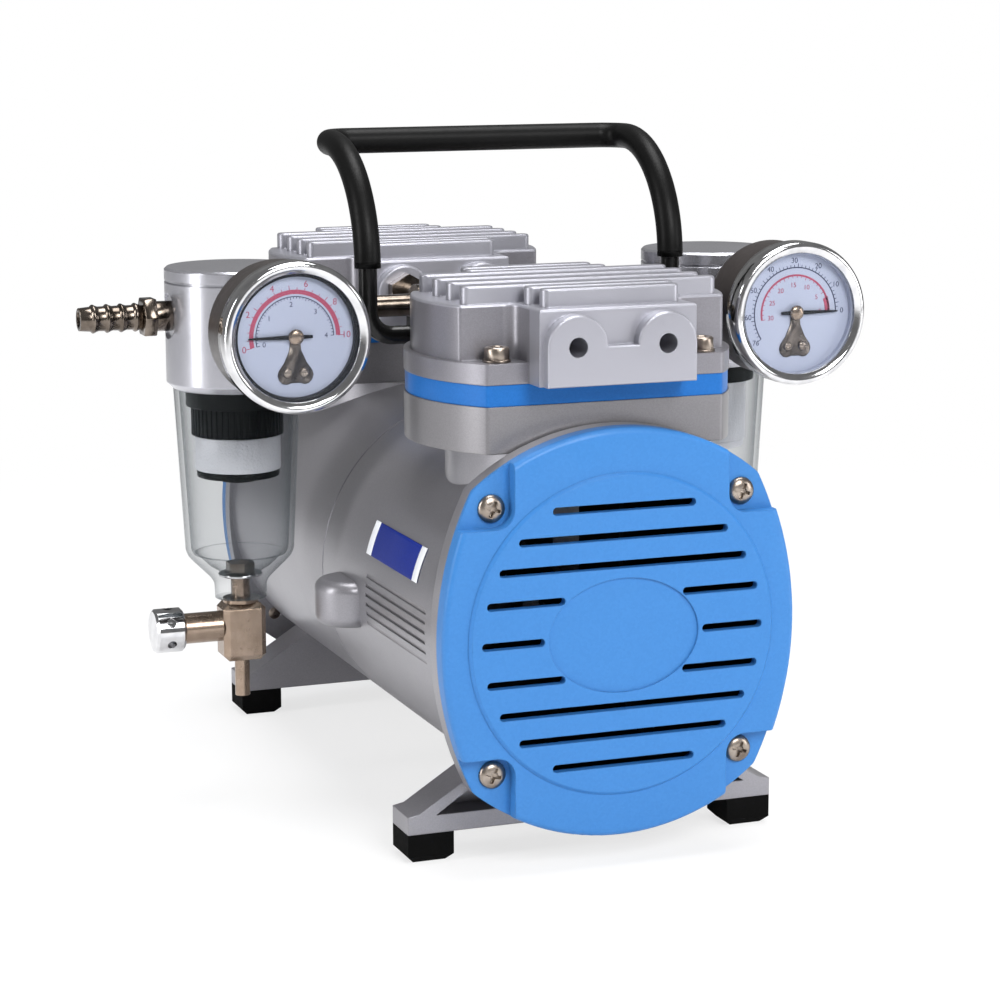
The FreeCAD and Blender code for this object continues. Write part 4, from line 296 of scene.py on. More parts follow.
@dataclass(frozen=True)
class Paint(Finish):
    """Sprayed lacquer on a casting, with fine flakes and a faint orange peel.

    Attributes:
        coat: Strength of its clear coat.
        flake: Size of a flake.
        peel: Depth of the orange peel.
    """

    metal: float = 0.6
    rough: float = 0.36
    coat: float = 0.1
    flake: float = 0.0003
    peel: float = 0.000012
    edge: float = 0.0006
    shine: float = 0.3

    def coloured(self, graph: Graph, mottle: Val) -> Val:
        """The finish's colour, from a mottle between 0 and 1."""
        return graph.mix(mottle, self.dark, self.light)

    def shader(self, graph: Graph) -> Val:
        """Lacquer with a mottle of flakes and clouds."""
        cloud = graph.noise(0.02, 2.0)
        flakes = graph.cells(self.flake)
        colour = self.coloured(graph, flakes * 0.6 + cloud * 0.4)
        grain = graph.noise(0.0011, 2.0)
        normal = graph.bump(grain, self.peel, graph.rounded(self.edge))
        return graph.principled({
            "Base Color": colour, "Metallic": self.metal,
            "Roughness": cloud * 0.12 + (self.rough - 0.06),
            "Specular IOR Level": self.shine,
            "Coat Weight": self.coat, "Coat Roughness": 0.18, "Normal": normal})


@dataclass(frozen=True)
class HeadPaint(Paint):
    """Lacquer on a head, paler on its top and on the machined port bosses.

    Attributes:
        pale: Colour of the bosses, and of the top where it is painted as lit from above.
        boss_near: Where the inner bosses end, lengthways.
        boss_far: Where the outer bosses start, lengthways.
        top: Height from which the top is painted paler, as light from above.
        soft: Width of the change.
    """

    pale: Colour = (0.335, 0.335, 0.375)
    boss_near: float = 0.0502
    boss_far: float = 0.1245
    top: float = 0.1885
    soft: float = 0.0003

    def coloured(self, graph: Graph, mottle: Val) -> Val:
        """The finish's colour with the paler bosses and the painted light on the top."""
        away = graph.axis("Y").size()
        bosses_and_lit_top = (away.above(self.boss_far, self.soft)
                    + (1.0 - away.above(self.boss_near, self.soft))
                    # Painted light: faces above this height are paled as if lit from above.
                    + graph.axis("Z").above(self.top, self.soft))
        return graph.mix(bosses_and_lit_top, super().coloured(graph, mottle), self.pale)


@dataclass(frozen=True)
class HousingPaint(Paint):
    """Lacquer on a housing that is bare and dark inside.

    Attributes:
        inside_shade: Near-black colour painted inside as shade.
        bore: Radius about the motor's axis within which the shade is painted.
    """
    # Painted shade: the housing's inside is coloured near black as the shade within it.

    inside_shade: Colour = (0.012, 0.012, 0.013)
    bore: float = 0.0590

    def coloured(self, graph: Graph, mottle: Val) -> Val:
        """The finish's colour with painted shade inside."""
        across = graph.axis("X")
        up = graph.axis("Z") - AXIS_Z * MM
        outside = (across * across + up * up).above(self.bore ** 2, 0.00002)
        return graph.mix(outside, self.inside_shade, super().coloured(graph, mottle))


@dataclass(frozen=True)
class Metal(Finish):
    """Bare or plated metal with tool marks, darker in worn places.

    Attributes:
        mark: Size of the tool marks.
        stretch: How much the marks are squeezed along each axis.
        depth: Depth of the marks.
    """

    rough: float = 0.25
    mark: float = 0.0008
    stretch: Point = (1.0, 1.0, 1.0)
    depth: float = 0.00001
    edge: float = 0.0003
    metal: float = 1.0

    def shader(self, graph: Graph) -> Val:
        """Metal with marks and worn places."""
        cloud = graph.noise(0.006, 3.0)
        marks = graph.noise(self.mark, 2.0, self.stretch)
        normal = graph.bump(marks, self.depth, graph.rounded(self.edge))
        return graph.principled({
            "Base Color": graph.mix(cloud.above(0.5, 0.5), self.dark, self.light),
            "Metallic": self.metal, "Roughness": marks * 0.14 + (self.rough - 0.07),
            "Normal": normal})


@dataclass(frozen=True)
class Plastic(Finish):
    """Moulded plastic, rubber or ink with a fine grain.

    Attributes:
        grain: Size of the grain.
        depth: Depth of the grain.
    """

    rough: float = 0.5
    grain: float = 0.0006
    depth: float = 0.00004
    edge: float = 0.0005
    shine: float = 0.3

    def shader(self, graph: Graph) -> Val:
        """Plastic with clouds and grain."""
        cloud = graph.noise(0.012, 3.0)
        grain = graph.noise(self.grain, 2.0)
        return graph.principled({
            "Base Color": graph.mix(cloud, self.dark, self.light),
            "Roughness": grain * 0.2 + (self.rough - 0.1), "Specular IOR Level": self.shine,
            "Normal": graph.bump(grain, self.depth, graph.rounded(self.edge))})


@dataclass(frozen=True)
class Clear(Finish):
    """Clear plastic or glass that shows its two shades where it is seen edge on.

    Attributes:
        face: How much of it shows seen face on.
        rim: How much of it shows seen edge on.
        tint: What one of its faces lets through.
        bend: Refractive index behind its reflections.
    """

    face: float = 0.06
    rim: float = 0.6
    rough: float = 0.05
    tint: Colour = (0.97, 0.975, 0.98)
    bend: float = 1.45

    def shader(self, graph: Graph) -> Val:
        """A clear face with a shiny body that shows towards the edges."""
        smears = graph.noise(0.01, 3.0)
        shine = graph.principled({
            "Base Color": graph.mix(smears, self.dark, self.light), "IOR": self.bend,
            "Roughness": smears * 0.06 + (self.rough - 0.03)})
        through = graph.node("ShaderNodeBsdfTransparent", {}, {"Color": self.tint})
        facing = graph.node("ShaderNodeLayerWeight", {}, {"Blend": 0.5}, "Facing")
        shown = facing * facing * facing * (self.rim - self.face) + self.face
        return graph.mixed(shown, through, shine)


def grey(level: float) -> Colour:
    """A neutral grey."""
    return (level,) * 3


SILVER = HousingPaint("silver_lacquer", (0.24, 0.235, 0.255), (0.29, 0.285, 0.305))
CYLINDER = Paint("cylinder_lacquer", (0.175, 0.17, 0.18), (0.22, 0.215, 0.225))
BRIGHT = Paint("bright_lacquer", (0.40, 0.40, 0.435), (0.48, 0.48, 0.52), 0.8, 0.24)
HEADS = HeadPaint("head_lacquer", (0.195, 0.19, 0.21), (0.24, 0.235, 0.26))
BLUE = Paint("cover_blue", (0.033, 0.16, 0.42), (0.039, 0.178, 0.455), 0.0, 0.42, 0.1, 0.0009,
             0.000015, shine=0.2)
PLATE = Paint("plate_blue", (0.008, 0.107, 0.36), (0.012, 0.128, 0.42), 0.1, 0.4, 0.0, 0.0005,
              0.00003, shine=0.2)
NAVY = Paint("plate_navy", (0.006, 0.018, 0.18), (0.009, 0.025, 0.225), 0.0, 0.55, 0.0, 0.0005,
             0.00003, shine=0.15)
SCREW = Metal("screw_nickel", (0.15, 0.12, 0.10), (0.36, 0.31, 0.265), 0.3, 0.002,
              depth=0.000002)
STEEL = Metal("bright_steel", (0.30, 0.30, 0.31), (0.50, 0.50, 0.51), 0.28)
NICKEL = Metal("nickel_plate", (0.09, 0.072, 0.058), (0.23, 0.195, 0.165), 0.2)
CHROME = Metal("chrome_plate", (0.50, 0.50, 0.51), (0.66, 0.66, 0.67), 0.1, 0.004)
BRASS = Metal("satin_brass", (0.24, 0.18, 0.135), (0.32, 0.245, 0.19), 0.25, 0.002,
              depth=0.000001, metal=0.85)
PEWTER = Metal("dark_pewter", (0.09, 0.075, 0.065), (0.17, 0.145, 0.125), 0.3, 0.002,
               depth=0.000001)
COPPER = Metal("wound_copper", (0.35, 0.13, 0.06), (0.62, 0.26, 0.12), 0.35, 0.0012,
               (1.0, 0.2, 1.0), 0.0002)
SHEETS = Metal("stacked_core_sheets", (0.16, 0.16, 0.17), (0.30, 0.30, 0.31), 0.5, 0.0011,
               (0.02, 1.0, 0.02), 0.00012)
IRON = Metal("cast_iron", (0.10, 0.10, 0.105), (0.19, 0.19, 0.195), 0.6, 0.001, depth=0.00006)
ALLOY = Metal("cast_alloy", (0.42, 0.42, 0.43), (0.58, 0.58, 0.59), 0.45, 0.001, depth=0.00004)
RUBBER = Plastic("foot_rubber", grey(0.002), grey(0.004), 0.75, 0.0012, 0.00008, shine=0.05)
SLEEVE = Plastic("soft_sleeve", grey(0.002), grey(0.005), 0.42, 0.0008, shine=0.12)
BLACK = Plastic("black_plastic", grey(0.002), grey(0.004), 0.4, shine=0.1)
ENAMEL = Plastic("black_enamel", grey(0.003), grey(0.006), 0.22)
CASE = Plastic("dark_case", (0.022, 0.018, 0.017), (0.042, 0.035, 0.034), 0.32, 0.002, 0.00002)
FELT = Plastic("element_felt", (0.60, 0.61, 0.65), (0.82, 0.82, 0.85), 0.85, 0.0009, 0.0003)
SEAL = Plastic("cup_seal", (0.05, 0.05, 0.05), (0.10, 0.095, 0.09), 0.55)
BOWL = Clear("clear_bowl", (0.10, 0.12, 0.13), (0.115, 0.138, 0.1495), 0.035, 0.9, 0.05,
             (0.905, 0.91, 0.915), 1.2)
GLASS = Clear("gauge_glass", (0.30, 0.33, 0.40), (0.345, 0.3795, 0.46), 0.03, 0.4, 0.04)
DIAL = Plastic("dial_enamel", (0.38, 0.41, 0.52), (0.41, 0.44, 0.55), 0.45, 0.003, 0.000005,
               0.0001)
INK = Plastic("dark_ink", (0.015, 0.02, 0.06), (0.03, 0.035, 0.08), 0.6, 0.0004, 0.000005,
              0.0001)
RED_INK = Plastic("red_ink", (0.33, 0.045, 0.09), (0.40, 0.07, 0.13), 0.6, 0.0004, 0.000005,
                  0.0001)
WHITE = Plastic("white_print", (0.70, 0.72, 0.76), (0.80, 0.82, 0.85), 0.5, 0.0006, 0.00001)


def put(piece: Piece, finish: Finish) -> None:
    """Give a piece one finish all over."""
    piece.data.materials.clear()
    piece.data.materials.append(finish.made())


def dressed(finish: Finish, names: Sequence[str]) -> None:
    """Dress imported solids: weld their facets, smooth them and give them a finish.

    Args:
        finish: The finish.
        names: Names of the solids.
    """
    for name in names:
        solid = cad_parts[name]
        put(solid, finish)
        weld = solid.modifiers.new("welded", "WELD")
        weld.merge_threshold = DOUBLES
        split = solid.modifiers.new("creased", "EDGE_SPLIT")
        split.split_angle = SOLID_CREASE
        solid.data.polygons.foreach_set("use_smooth", [True] * len(solid.data.polygons))
        LOG.info("dressed %s in %s", name, finish.name)


# Modelling


@dataclass(frozen=True)
class Line:
    """An axis, with a direction that points away from it.

    Attributes:
        origin: A point on the axis, in millimetres.
        along: The axis's direction.
        out: A direction square to it.
    """

    origin: Point
    along: Point
    out: Point

    def at(self, radius: float, distance: float) -> Vector:
        """The point at a radius and a distance along the axis, in metres."""
        place = Vector(self.origin) + Vector(self.along) * distance + Vector(self.out) * radius
        return place * MM


def clear_selection() -> None:
    """Deselect everything."""
    bpy.ops.object.select_all(action="DESELECT")


def active(piece: Piece) -> None:
    """Make a piece the only selected and the active object."""
    clear_selection()
    piece.select_set(True)
    bpy.context.view_layer.objects.active = piece


def settled(name: str) -> Piece:
    """Name the active object and move its place into its mesh."""
    piece = bpy.context.object
    piece.name = name
    bpy.ops.object.transform_apply(location=True, rotation=True, scale=True)
    return piece


def chain(name: str, points: Sequence[Vector]) -> Piece:
    """A chain of edges through points, left in edit mode.

    Args:
        name: The piece's name.
        points: The chain's points in metres.

    Returns:
        The piece.
    """
    clear_selection()
    bpy.ops.mesh.primitive_plane_add(size=MM, location=points[0])
    piece = settled(name)
    bpy.ops.object.mode_set(mode="EDIT")
    bpy.ops.mesh.select_mode(type="VERT")
    bpy.ops.mesh.select_all(action="SELECT")
    bpy.ops.mesh.merge(type="CENTER")
    for start, end in zip(points, points[1:]):
        bpy.ops.mesh.extrude_region_move(TRANSFORM_OT_translate={"value": end - start})
    return piece


def cleaned() -> None:
    """Merge doubles, turn the faces outwards and leave edit mode."""
    bpy.ops.mesh.select_all(action="SELECT")
    bpy.ops.mesh.remove_doubles(threshold=DOUBLES)
    bpy.ops.mesh.normals_make_consistent(inside=False)
    bpy.ops.object.mode_set(mode="OBJECT")


def turned(name: str, line: Line, profile: Sequence[Point], steps: int,
           sweep: float = 360.0) -> Piece:
    """Turn a profile about an axis.

    Args:
        name: The piece's name.
        line: The axis.
        profile: Pairs of radius and distance along the axis.
        steps: Steps of the turn.
        sweep: Angle of the turn in degrees.

    Returns:
        The piece.
    """
    piece = chain(name, [line.at(*point) for point in profile])
    bpy.ops.mesh.select_all(action="SELECT")
    bpy.ops.mesh.spin(steps=steps, angle=-math.radians(sweep),
                      center=Vector(line.origin) * MM, axis=line.along)
    cleaned()
    return piece


def ring(inner: float, outer: float, low: float, high: float) -> list[Point]:
    """Profile of a plain ring, closed."""
    return [(inner, low), (outer, low), (outer, high), (inner, high), (inner, low)]


def prism(name: str, sides: int, radius: float, depth: float, place: Vector,
          rotation: Point = (0, 0, 0)) -> Piece:
    """A prism that stands upright before its rotation.

    Args:
        name: The piece's name.
        sides: Number of its sides.
        radius: Radius of its corners in millimetres.
        depth: Its length in millimetres.
        place: Its middle in metres.
        rotation: Its rotation in radians.

    Returns:
        The piece.
    """
    clear_selection()
    bpy.ops.mesh.primitive_cylinder_add(vertices=sides, radius=radius * MM, depth=depth * MM,
                                        location=place, rotation=rotation)
    return settled(name)


def slab(name: str, corners: Sequence[Point], thickness: float) -> Piece:
    """A flat plate that faces the front.

    Args:
        name: The piece's name.
        corners: Corners of its back in millimetres.
        thickness: Its thickness in millimetres.

    Returns:
        The piece.
    """
    piece = chain(name, [Vector(corner) * MM for corner in corners])
    bpy.ops.mesh.select_all(action="SELECT")
    bpy.ops.mesh.edge_face_add()
    bpy.ops.mesh.extrude_region_move(TRANSFORM_OT_translate={"value": (0, -thickness * MM, 0)})
    cleaned()
    return piece


def block(name: str, low: Point, high: Point) -> Piece:
    """A box between two corners.

    Args:
        name: The piece's name.
        low: Its lowest corner in millimetres.
        high: Its highest corner in millimetres.

    Returns:
        The piece.
    """
    clear_selection()
    middle = [(first + last) / 2 * MM for first, last in zip(low, high)]
    bpy.ops.mesh.primitive_cube_add(size=1.0, location=middle)
    bpy.context.object.scale = [(last - first) * MM for first, last in zip(low, high)]
    return settled(name)


def pick(piece: Piece, test: Callable[[Vector, Vector], bool]) -> None:
    """Select the faces that pass a test, and stay in edit mode.

    Args:
        piece: The piece.
        test: The test of a face's middle and normal.
    """
    active(piece)
    bpy.ops.object.mode_set(mode="EDIT")
    bpy.ops.mesh.select_mode(type="FACE")
    bpy.ops.mesh.select_all(action="DESELECT")
    bpy.ops.object.mode_set(mode="OBJECT")
    for face in piece.data.polygons:
        face.select = test(face.center, face.normal)
    bpy.ops.object.mode_set(mode="EDIT")


def applied(piece: Piece, kind: str, **settings: object) -> Piece:
    """Apply a modifier to a piece.

    Args:
        piece: The piece.
        kind: The modifier's type.
        **settings: The modifier's settings.

    Returns:
        The piece.
    """
    active(piece)
    modifier = piece.modifiers.new(kind.lower(), kind)
    for name, setting in settings.items():
        setattr(modifier, name, setting)
    bpy.ops.object.modifier_apply(modifier=modifier.name)
    return piece


def softened(piece: Piece, width: float, segments: int = 2) -> Piece:
    """Bevel a piece's sharp edges and smooth its shading.

    Args:
        piece: The piece.
        width: Width of the bevel in millimetres, or 0 for none.
        segments: Steps across the bevel.

    Returns:
        The piece.
    """
    active(piece)
    if width:
        applied(piece, "BEVEL", width=width * MM, segments=segments, limit_method="ANGLE",
                angle_limit=BEVEL_CREASE, harden_normals=True)
    bpy.ops.object.shade_smooth_by_angle(angle=SMOOTH_CREASE)
    return piece


def walled(piece: Piece, thickness: float) -> Piece:
    """Give an open sheet a thickness in millimetres, half to each side."""
    return applied(piece, "SOLIDIFY", thickness=thickness * MM, offset=0.0)


def cut_by(piece: Piece, cutter: Piece) -> Piece:
    """Cut a piece by another one.

    Args:
        piece: The piece.
        cutter: The other one, which is then removed.

    Returns:
        The piece.
    """
    applied(piece, "BOOLEAN", operation="DIFFERENCE", solver="EXACT", object=cutter)
    bpy.data.objects.remove(cutter, do_unlink=True)
    return piece


def linked(name: str, data: bpy.types.ID) -> Piece:
    """A new object in the scene."""
    item = bpy.data.objects.new(name, data)
    bpy.context.scene.collection.objects.link(item)
    return item


def copied(piece: Piece, move: Matrix) -> Piece:
    """A copy of a piece with its own, moved mesh."""
    twin = linked(piece.name, piece.data.copy())
    twin.data.transform(move)
    return twin


def joined(name: str, pieces: Sequence[Piece]) -> Piece:
    """Join pieces into one.

    Args:
        name: Name of the whole.
        pieces: The pieces.

    Returns:
        The whole.
    """
    clear_selection()
    for piece in pieces:
        piece.select_set(True)
    bpy.context.view_layer.objects.active = pieces[0]
    if len(pieces) > 1:
        bpy.ops.object.join()
    pieces[0].name = name
    return pieces[0]


def shift(x: float, y: float, z: float) -> Matrix:
    """A move in millimetres."""
    return Matrix.Translation(Vector((x, y, z)) * MM)


def fitted(piece: Piece, finish: Finish, body: str = "pump",
           stands_for: Sequence[str] = ()) -> None:
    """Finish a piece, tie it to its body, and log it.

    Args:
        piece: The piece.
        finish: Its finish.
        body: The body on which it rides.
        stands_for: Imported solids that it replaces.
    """
    put(piece, finish)
    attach(piece, body)
    if stands_for:
        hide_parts(*stands_for)
    LOG.info("fitted %s (%d faces) in %s", piece.name, len(piece.data.polygons), finish.name)


# Sub-assemblies


class SubAssembly:
    """A group of pieces that is built and then dressed.

    Attributes:
        clothes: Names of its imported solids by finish.
    """

    clothes: dict[Finish, Sequence[str]] = {}

    def named(self, name: str) -> str:
        """The full name of one of its pieces."""
        return name

    def build(self) -> None:
        """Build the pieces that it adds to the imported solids, if any."""

    def dress(self) -> None:
        """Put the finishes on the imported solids."""
        for finish, names in self.clothes.items():
            dressed(finish, [self.named(name) for name in names])


@dataclass
class SideUnit(SubAssembly):
    """A group that each side of the pump has, with the side's word before its names."""

    side: Side

    def named(self, name: str) -> str:
        """A name with the side's word before it."""
        return f"{self.side.word}_{name}"

    def spun(self, name: str, line: Line, profile: Sequence[Point], steps: int,
             bevel: float = 0.0) -> Piece:
        """A turned piece of this unit, with its edges softened."""
        return softened(turned(self.named(name), line, profile, steps), bevel)


@dataclass
class Castings(SubAssembly):
    """Housings, cylinders, valve plates and heads, with the bare plate on the left side."""

    radius: float = 62.0
    plate_low: float = 95.0
    plate_high: float = 106.6
    plate_near: float = -48.2
    plate_far: float = -102.6
    plate_thick: float = 0.35
    stripe: float = 5.2
    stripe_rise: float = 0.06
    clothes = {
        SILVER: ("front_housing", "rear_housing"),
        CYLINDER: ("front_cylinder", "rear_cylinder"),
        HEADS: ("front_head", "rear_head"),
        PLATE: ("front_valve_plate", "rear_valve_plate"),
        RUBBER: ("rubber_feet",)}

    def curved_plate(self, name: str, near: float, far: float, rise: float) -> Piece:
        """A thin plate bent round the housing's left side.

        Args:
            name: The piece's name.
            near: Its rear end.
            far: Its front end.
            rise: How far its middle stands over the housing.

        Returns:
            The piece.
        """
        start = math.asin((self.plate_low - AXIS_Z) / self.radius)
        end = math.asin((self.plate_high - AXIS_Z) / self.radius)
        line = Line((0, 0, AXIS_Z), (0, 1, 0), (-math.cos(start), 0, math.sin(start)))
        skin = self.radius + rise
        piece = turned(name, line, [(skin, far), (skin, near)], 10, math.degrees(end - start))
        return softened(walled(piece, self.plate_thick), 0.08)

    def build(self) -> None:
        """Build the bare plate with its pale ends."""
        rise = self.plate_thick / 2
        plate = self.curved_plate("side_plate", self.plate_near, self.plate_far, rise)
        fitted(plate, NAVY)
        ends = [self.curved_plate("stripe", edge, edge - self.stripe, rise + self.stripe_rise)
                for edge in (self.plate_near, self.plate_far + self.stripe)]
        fitted(joined("side_plate_ends", ends), WHITE)


@dataclass
class Covers(SubAssembly):
    """Slotted covers and their cross-recessed screws."""

    pitch: float = 45.0
    seat: float = 133.1
    head: float = 4.75
    tall: float = 2.3
    shank: float = 2.5
    shank_long: float = 7.6
    sunk: float = 0.4
    recess: float = 5.4
    recess_width: float = 1.15
    well: float = 1.35
    tilt: float = 20.0
    clothes = {BLUE: ("front_cover", "rear_cover")}

    def screw(self) -> Piece:
        """The upper right screw of the front cover, with a domed head and a cross recess."""
        x, z = self.pitch, AXIS_Z + self.pitch
        line = Line((x, -self.seat, z), (0, -1, 0), (1, 0, 0))
        profile = [(0, -self.shank_long), (self.shank, -self.shank_long),
                   (self.shank, -self.sunk), (self.head - 0.5, -self.sunk), (self.head, 0.25),
                   (self.head * 0.97, 0.9), (self.head * 0.86, 1.5), (self.head * 0.66, 2.0),
                   (self.head * 0.4, 2.25), (0, self.tall)]
        piece = turned("cover_screw", line, profile, 48)
        half, thin = self.recess / 2, self.recess_width / 2
        face = -self.seat - self.tall
        for wide, high in ((half, thin), (thin, half)):
            cut_by(piece, block("recess", (x - wide, face - 0.5, z - high),
                                (x + wide, face + 1.6, z + high)))
        cut_by(piece, turned("well", Line((x, face, z), (0, 1, 0), (1, 0, 0)),
                             [(0, -0.5), (self.well, -0.5), (self.well, 1.0), (0, 1.9)], 24))
        turn = Matrix.Rotation(math.radians(self.tilt), 4, "Y")
        centre = shift(x, 0, z)
        piece.data.transform(centre @ turn @ centre.inverted())
        return softened(piece, 0.12)

    def build(self) -> None:
        """Build the eight cover screws."""
        screws = [self.screw()]
        for across, down in ((0, 1), (1, 0), (1, 1)):
            move = shift(-2 * self.pitch * across, 0, -2 * self.pitch * down)
            screws.append(copied(screws[0], move))
        turn = Matrix.Rotation(math.pi, 4, "Z")
        screws.extend([copied(screw, turn) for screw in screws])
        fitted(joined("cover_screw_set", screws), SCREW,
               stands_for=["cover_screws"])


@dataclass
class HeadScrews(SubAssembly):
    """Socket screws on washers in the notches of the heads."""

    across: float = 37.0
    places: tuple[float, float] = (117.8, 56.8)
    ledge: float = 171.0
    head: float = 4.2
    tall: float = 5.0
    washer: float = 4.7
    washer_thick: float = 0.9
    washer_bore: float = 2.6
    socket: float = 2.3
    socket_deep: float = 1.5

    def screw(self, across: float, place: float) -> Piece:
        """One screw with its washer.

        Args:
            across: Its place sideways.
            place: Its place lengthways.

        Returns:
            The piece.
        """
        line = Line((across, place, self.ledge), (0, 0, 1), (1, 0, 0))
        low = self.washer_thick
        washer = turned("washer", line, ring(self.washer_bore, self.washer, 0, low), 40)
        head = turned("head", line, [(0, low), (self.head, low), (self.head, self.tall - 0.5),
                                     (self.head - 0.5, self.tall), (0, self.tall)], 40)
        cut_by(head, prism("socket", 6, self.socket, 2 * self.socket_deep,
                           line.at(0, self.tall)))
        return joined("head_screw", [softened(washer, 0.15), softened(head, 0.2)])

    def build(self) -> None:
        """Build the eight head screws."""
        screws = [self.screw(self.across * side, place * end)
                  for side in (-1, 1) for end in (-1, 1) for place in self.places]
        fitted(joined("head_screw_set", screws), SCREW,
               stands_for=["head_screws"])


@dataclass
class FilterUnit(SideUnit):
    """Filter head, clear bowl with its element, drain valve and hose barb of one side."""

    bowl_top: float = 22.9
    bowl_low: float = 19.9
    bowl_high: float = 159.5
    wall: float = 2.0
    neck_low: float = 72.2
    neck_bore: float = 3.6
    holder_low: float = 143.6
    holder_high: float = 156.0
    holder_edge: float = 18.5
    holder_bore: float = 2.5
    grip_low: float = 133.0
    grip_edge: float = 16.2
    ribs: int = 48
    rib_gap: float = 0.08
    rib_tall: float = 0.5
    element_low: float = 120.2
    element_edge: float = 15.6
    element_bore: float = 7.0
    barb_bore: float = 2.7
    barb_root: float = 16.0
    barb_low: float = 34.5
    barb_high: float = 57.3
    crests: int = 4
    nut_half: float = 6.6
    nut_middle: float = 32.15
    nut_long: float = 4.7
    clothes = {BRIGHT: ("filter_head",), BRASS: ("drain_valve",), CHROME: ("drain_knob",)}

    @property
    def upright(self) -> Line:
        """The unit's upright axis, with its outer side as the way out."""
        return Line((self.side.x, 0, 0), (0, 0, 1), (self.side.value, 0, 0))

    @property
    def level(self) -> Line:
        """The barb's axis, pointing outwards."""
        return Line((self.side.x, 0, PORT_Z), (self.side.value, 0, 0), (0, 0, 1))

    def bowl(self) -> Piece:
        """The clear bowl: slight taper, conical floor and neck."""
        floor = [(self.bowl_low, 91.0), (19.6, 89.6), (19.0, 88.3), (18.1, 87.2), (17.0, 86.0),
                 (15.2, 84.2), (13.4, 82.4), (11.6, 80.6), (10.6, 79.4), (9.9, 78.2), (9.6, 77.0)]
        inner = [(radius - self.wall * (1.0 if radius > 12 else 1.6),
                  height + self.wall * (0.2 if height > 88 else 1.0))
                 for radius, height in reversed(floor)]
        inside = self.bowl_top - self.wall
        profile = [(inside, self.bowl_high), (21.9, self.bowl_high), (21.9, 151.0),
                   (self.bowl_top, 150.3), *floor, (9.5, self.neck_low),
                   (self.neck_bore, self.neck_low), (self.neck_bore, 80.2), *inner[1:],
                   (inside, 149), (inside, self.bowl_high)]
        return self.spun("clear_bowl", self.upright, profile, 96, 0.25)

    def holder(self) -> Piece:
        """The element holder, with a knurled grip on the left side."""
        line = self.upright
        upper = softened(turned("upper", line, ring(self.holder_bore, self.holder_edge,
                                                    self.holder_low, self.holder_high), 72), 0.5)
        if self.side is Side.RIGHT:
            return joined(self.named("holder"), [upper])
        sides = 2 * self.ribs
        centre = line.at(0, (self.grip_low + self.holder_low) / 2)
        grip = prism("grip", sides, self.grip_edge, self.holder_low - self.grip_low, centre)

        def is_rib(middle: Vector, normal: Vector) -> bool:
            """Whether a face is every other face of the grip's side."""
            angle = math.atan2(middle.y - centre.y, middle.x - centre.x) % math.tau
            return abs(normal.z) < 0.5 and int(angle / math.tau * sides) % 2 == 0

        pick(grip, is_rib)
        bpy.ops.mesh.inset(thickness=self.rib_gap * MM, use_individual=True)
        bpy.ops.mesh.extrude_region_shrink_fatten(
            TRANSFORM_OT_shrink_fatten={"value": self.rib_tall * MM})
        cleaned()
        return joined(self.named("holder"), [upper, softened(grip, 0)])

    def element(self) -> Piece:
        """The white element, taller where the holder has no grip."""
        top = self.holder_low if self.side is Side.RIGHT else self.grip_low
        return self.spun("element", self.upright,
                         ring(self.element_bore, self.element_edge, self.element_low, top), 72,
                         0.5)

    def baffle(self) -> Piece:
        """The baffle below the element."""
        top = self.element_low
        profile = [(0, 115.7), (7, 115.7), (7.4, 117.6), (15, 117.6), (15, top), (0, top)]
        return self.spun("baffle", self.upright, profile, 72, 0.35)

    def washer(self) -> Piece:
        """The washer under the drain valve's nut, on the bowl's floor."""
        profile = [(5.6, 80.25), (7.9, 80.25), (8.1, 80.5), (8.1, 81.0), (7.8, 81.3), (5.6, 81.3),
                   (5.6, 80.25)]
        return self.spun("drain_washer", self.upright, profile, 48)

    def barb(self) -> Piece:
        """The hose barb with its collar, hexagon and crests."""
        line = self.level
        start, end = (self.barb_bore, self.barb_root), (self.barb_bore, self.barb_high)
        profile = [start, (4.4, self.barb_root), (4.4, 24), (5.4, 24), (5.4, 29.8), (4.6, 29.8),
                   (4.1, self.barb_low)]
        step = (self.barb_high - self.barb_low) / (self.crests + 0.5)
        for index in range(self.crests):
            crest = self.barb_low + step * (index + 0.5)
            profile.extend([(4.4, crest - 1.9), (4.75, crest - 0.9), (5.1, crest - 0.3),
                            (5.2, crest), (5.05, crest + 0.4), (4.45, crest + 1.0)])
        profile.extend([(4.1, self.barb_high), end, start])
        body = softened(turned("body", line, profile, 56), 0.12)
        nut = prism("nut", 6, self.nut_half * 2 / math.sqrt(3), self.nut_long,
                    line.at(0, self.nut_middle), (0, math.pi / 2, 0))
        cut_by(nut, turned("hole", line, [(0, 28), (4.2, 28), (4.2, 36), (0, 36)], 32))
        return joined(self.named("barb"), [body, softened(nut, 0.45, 3)])

    def build(self) -> None:
        """Build the unit's own pieces; the left ones stand for the solids of both sides."""
        left = self.side is Side.LEFT
        fitted(self.bowl(), BOWL, stands_for=[self.named("bowl")])
        inside = [(self.holder(), BLACK, "holder_black", "element_holders"),
                  (self.element(), FELT, "element_white", "filter_elements"),
                  (self.baffle(), BLACK if left else FELT,
                   "holder_black" if left else "element_white", "baffles")]
        fitted(self.washer(), CHROME)
        fitted(self.barb(), NICKEL, stands_for=[self.named("hose_barb")])
        for piece, finish, slot, solids in inside:
            fitted(piece, finish, stands_for=[solids] if left else [])


class Ink(Enum):
    """The inks in which the dials are printed."""

    DARK = INK
    RED = RED_INK


@dataclass
class DialPrint:
    """One printed scale of a dial.

    Attributes:
        ink: Its ink.
        radius: Radius of its arc.
        start: Angle of its first mark, in degrees, counted clockwise from the left.
        sweep: Angle from its first to its last mark.
        numbers: Its numbers, evenly spaced.
        number_radius: Radius at which they stand.
        size: Height of a number.
        ticks: Steps between the marks.
        tick: Length of a mark, outwards where positive.
        width: Width of its arc.
    """

    ink: Ink
    radius: float
    start: float
    sweep: float
    numbers: Sequence[str]
    number_radius: float
    size: float
    ticks: int
    tick: float
    width: float


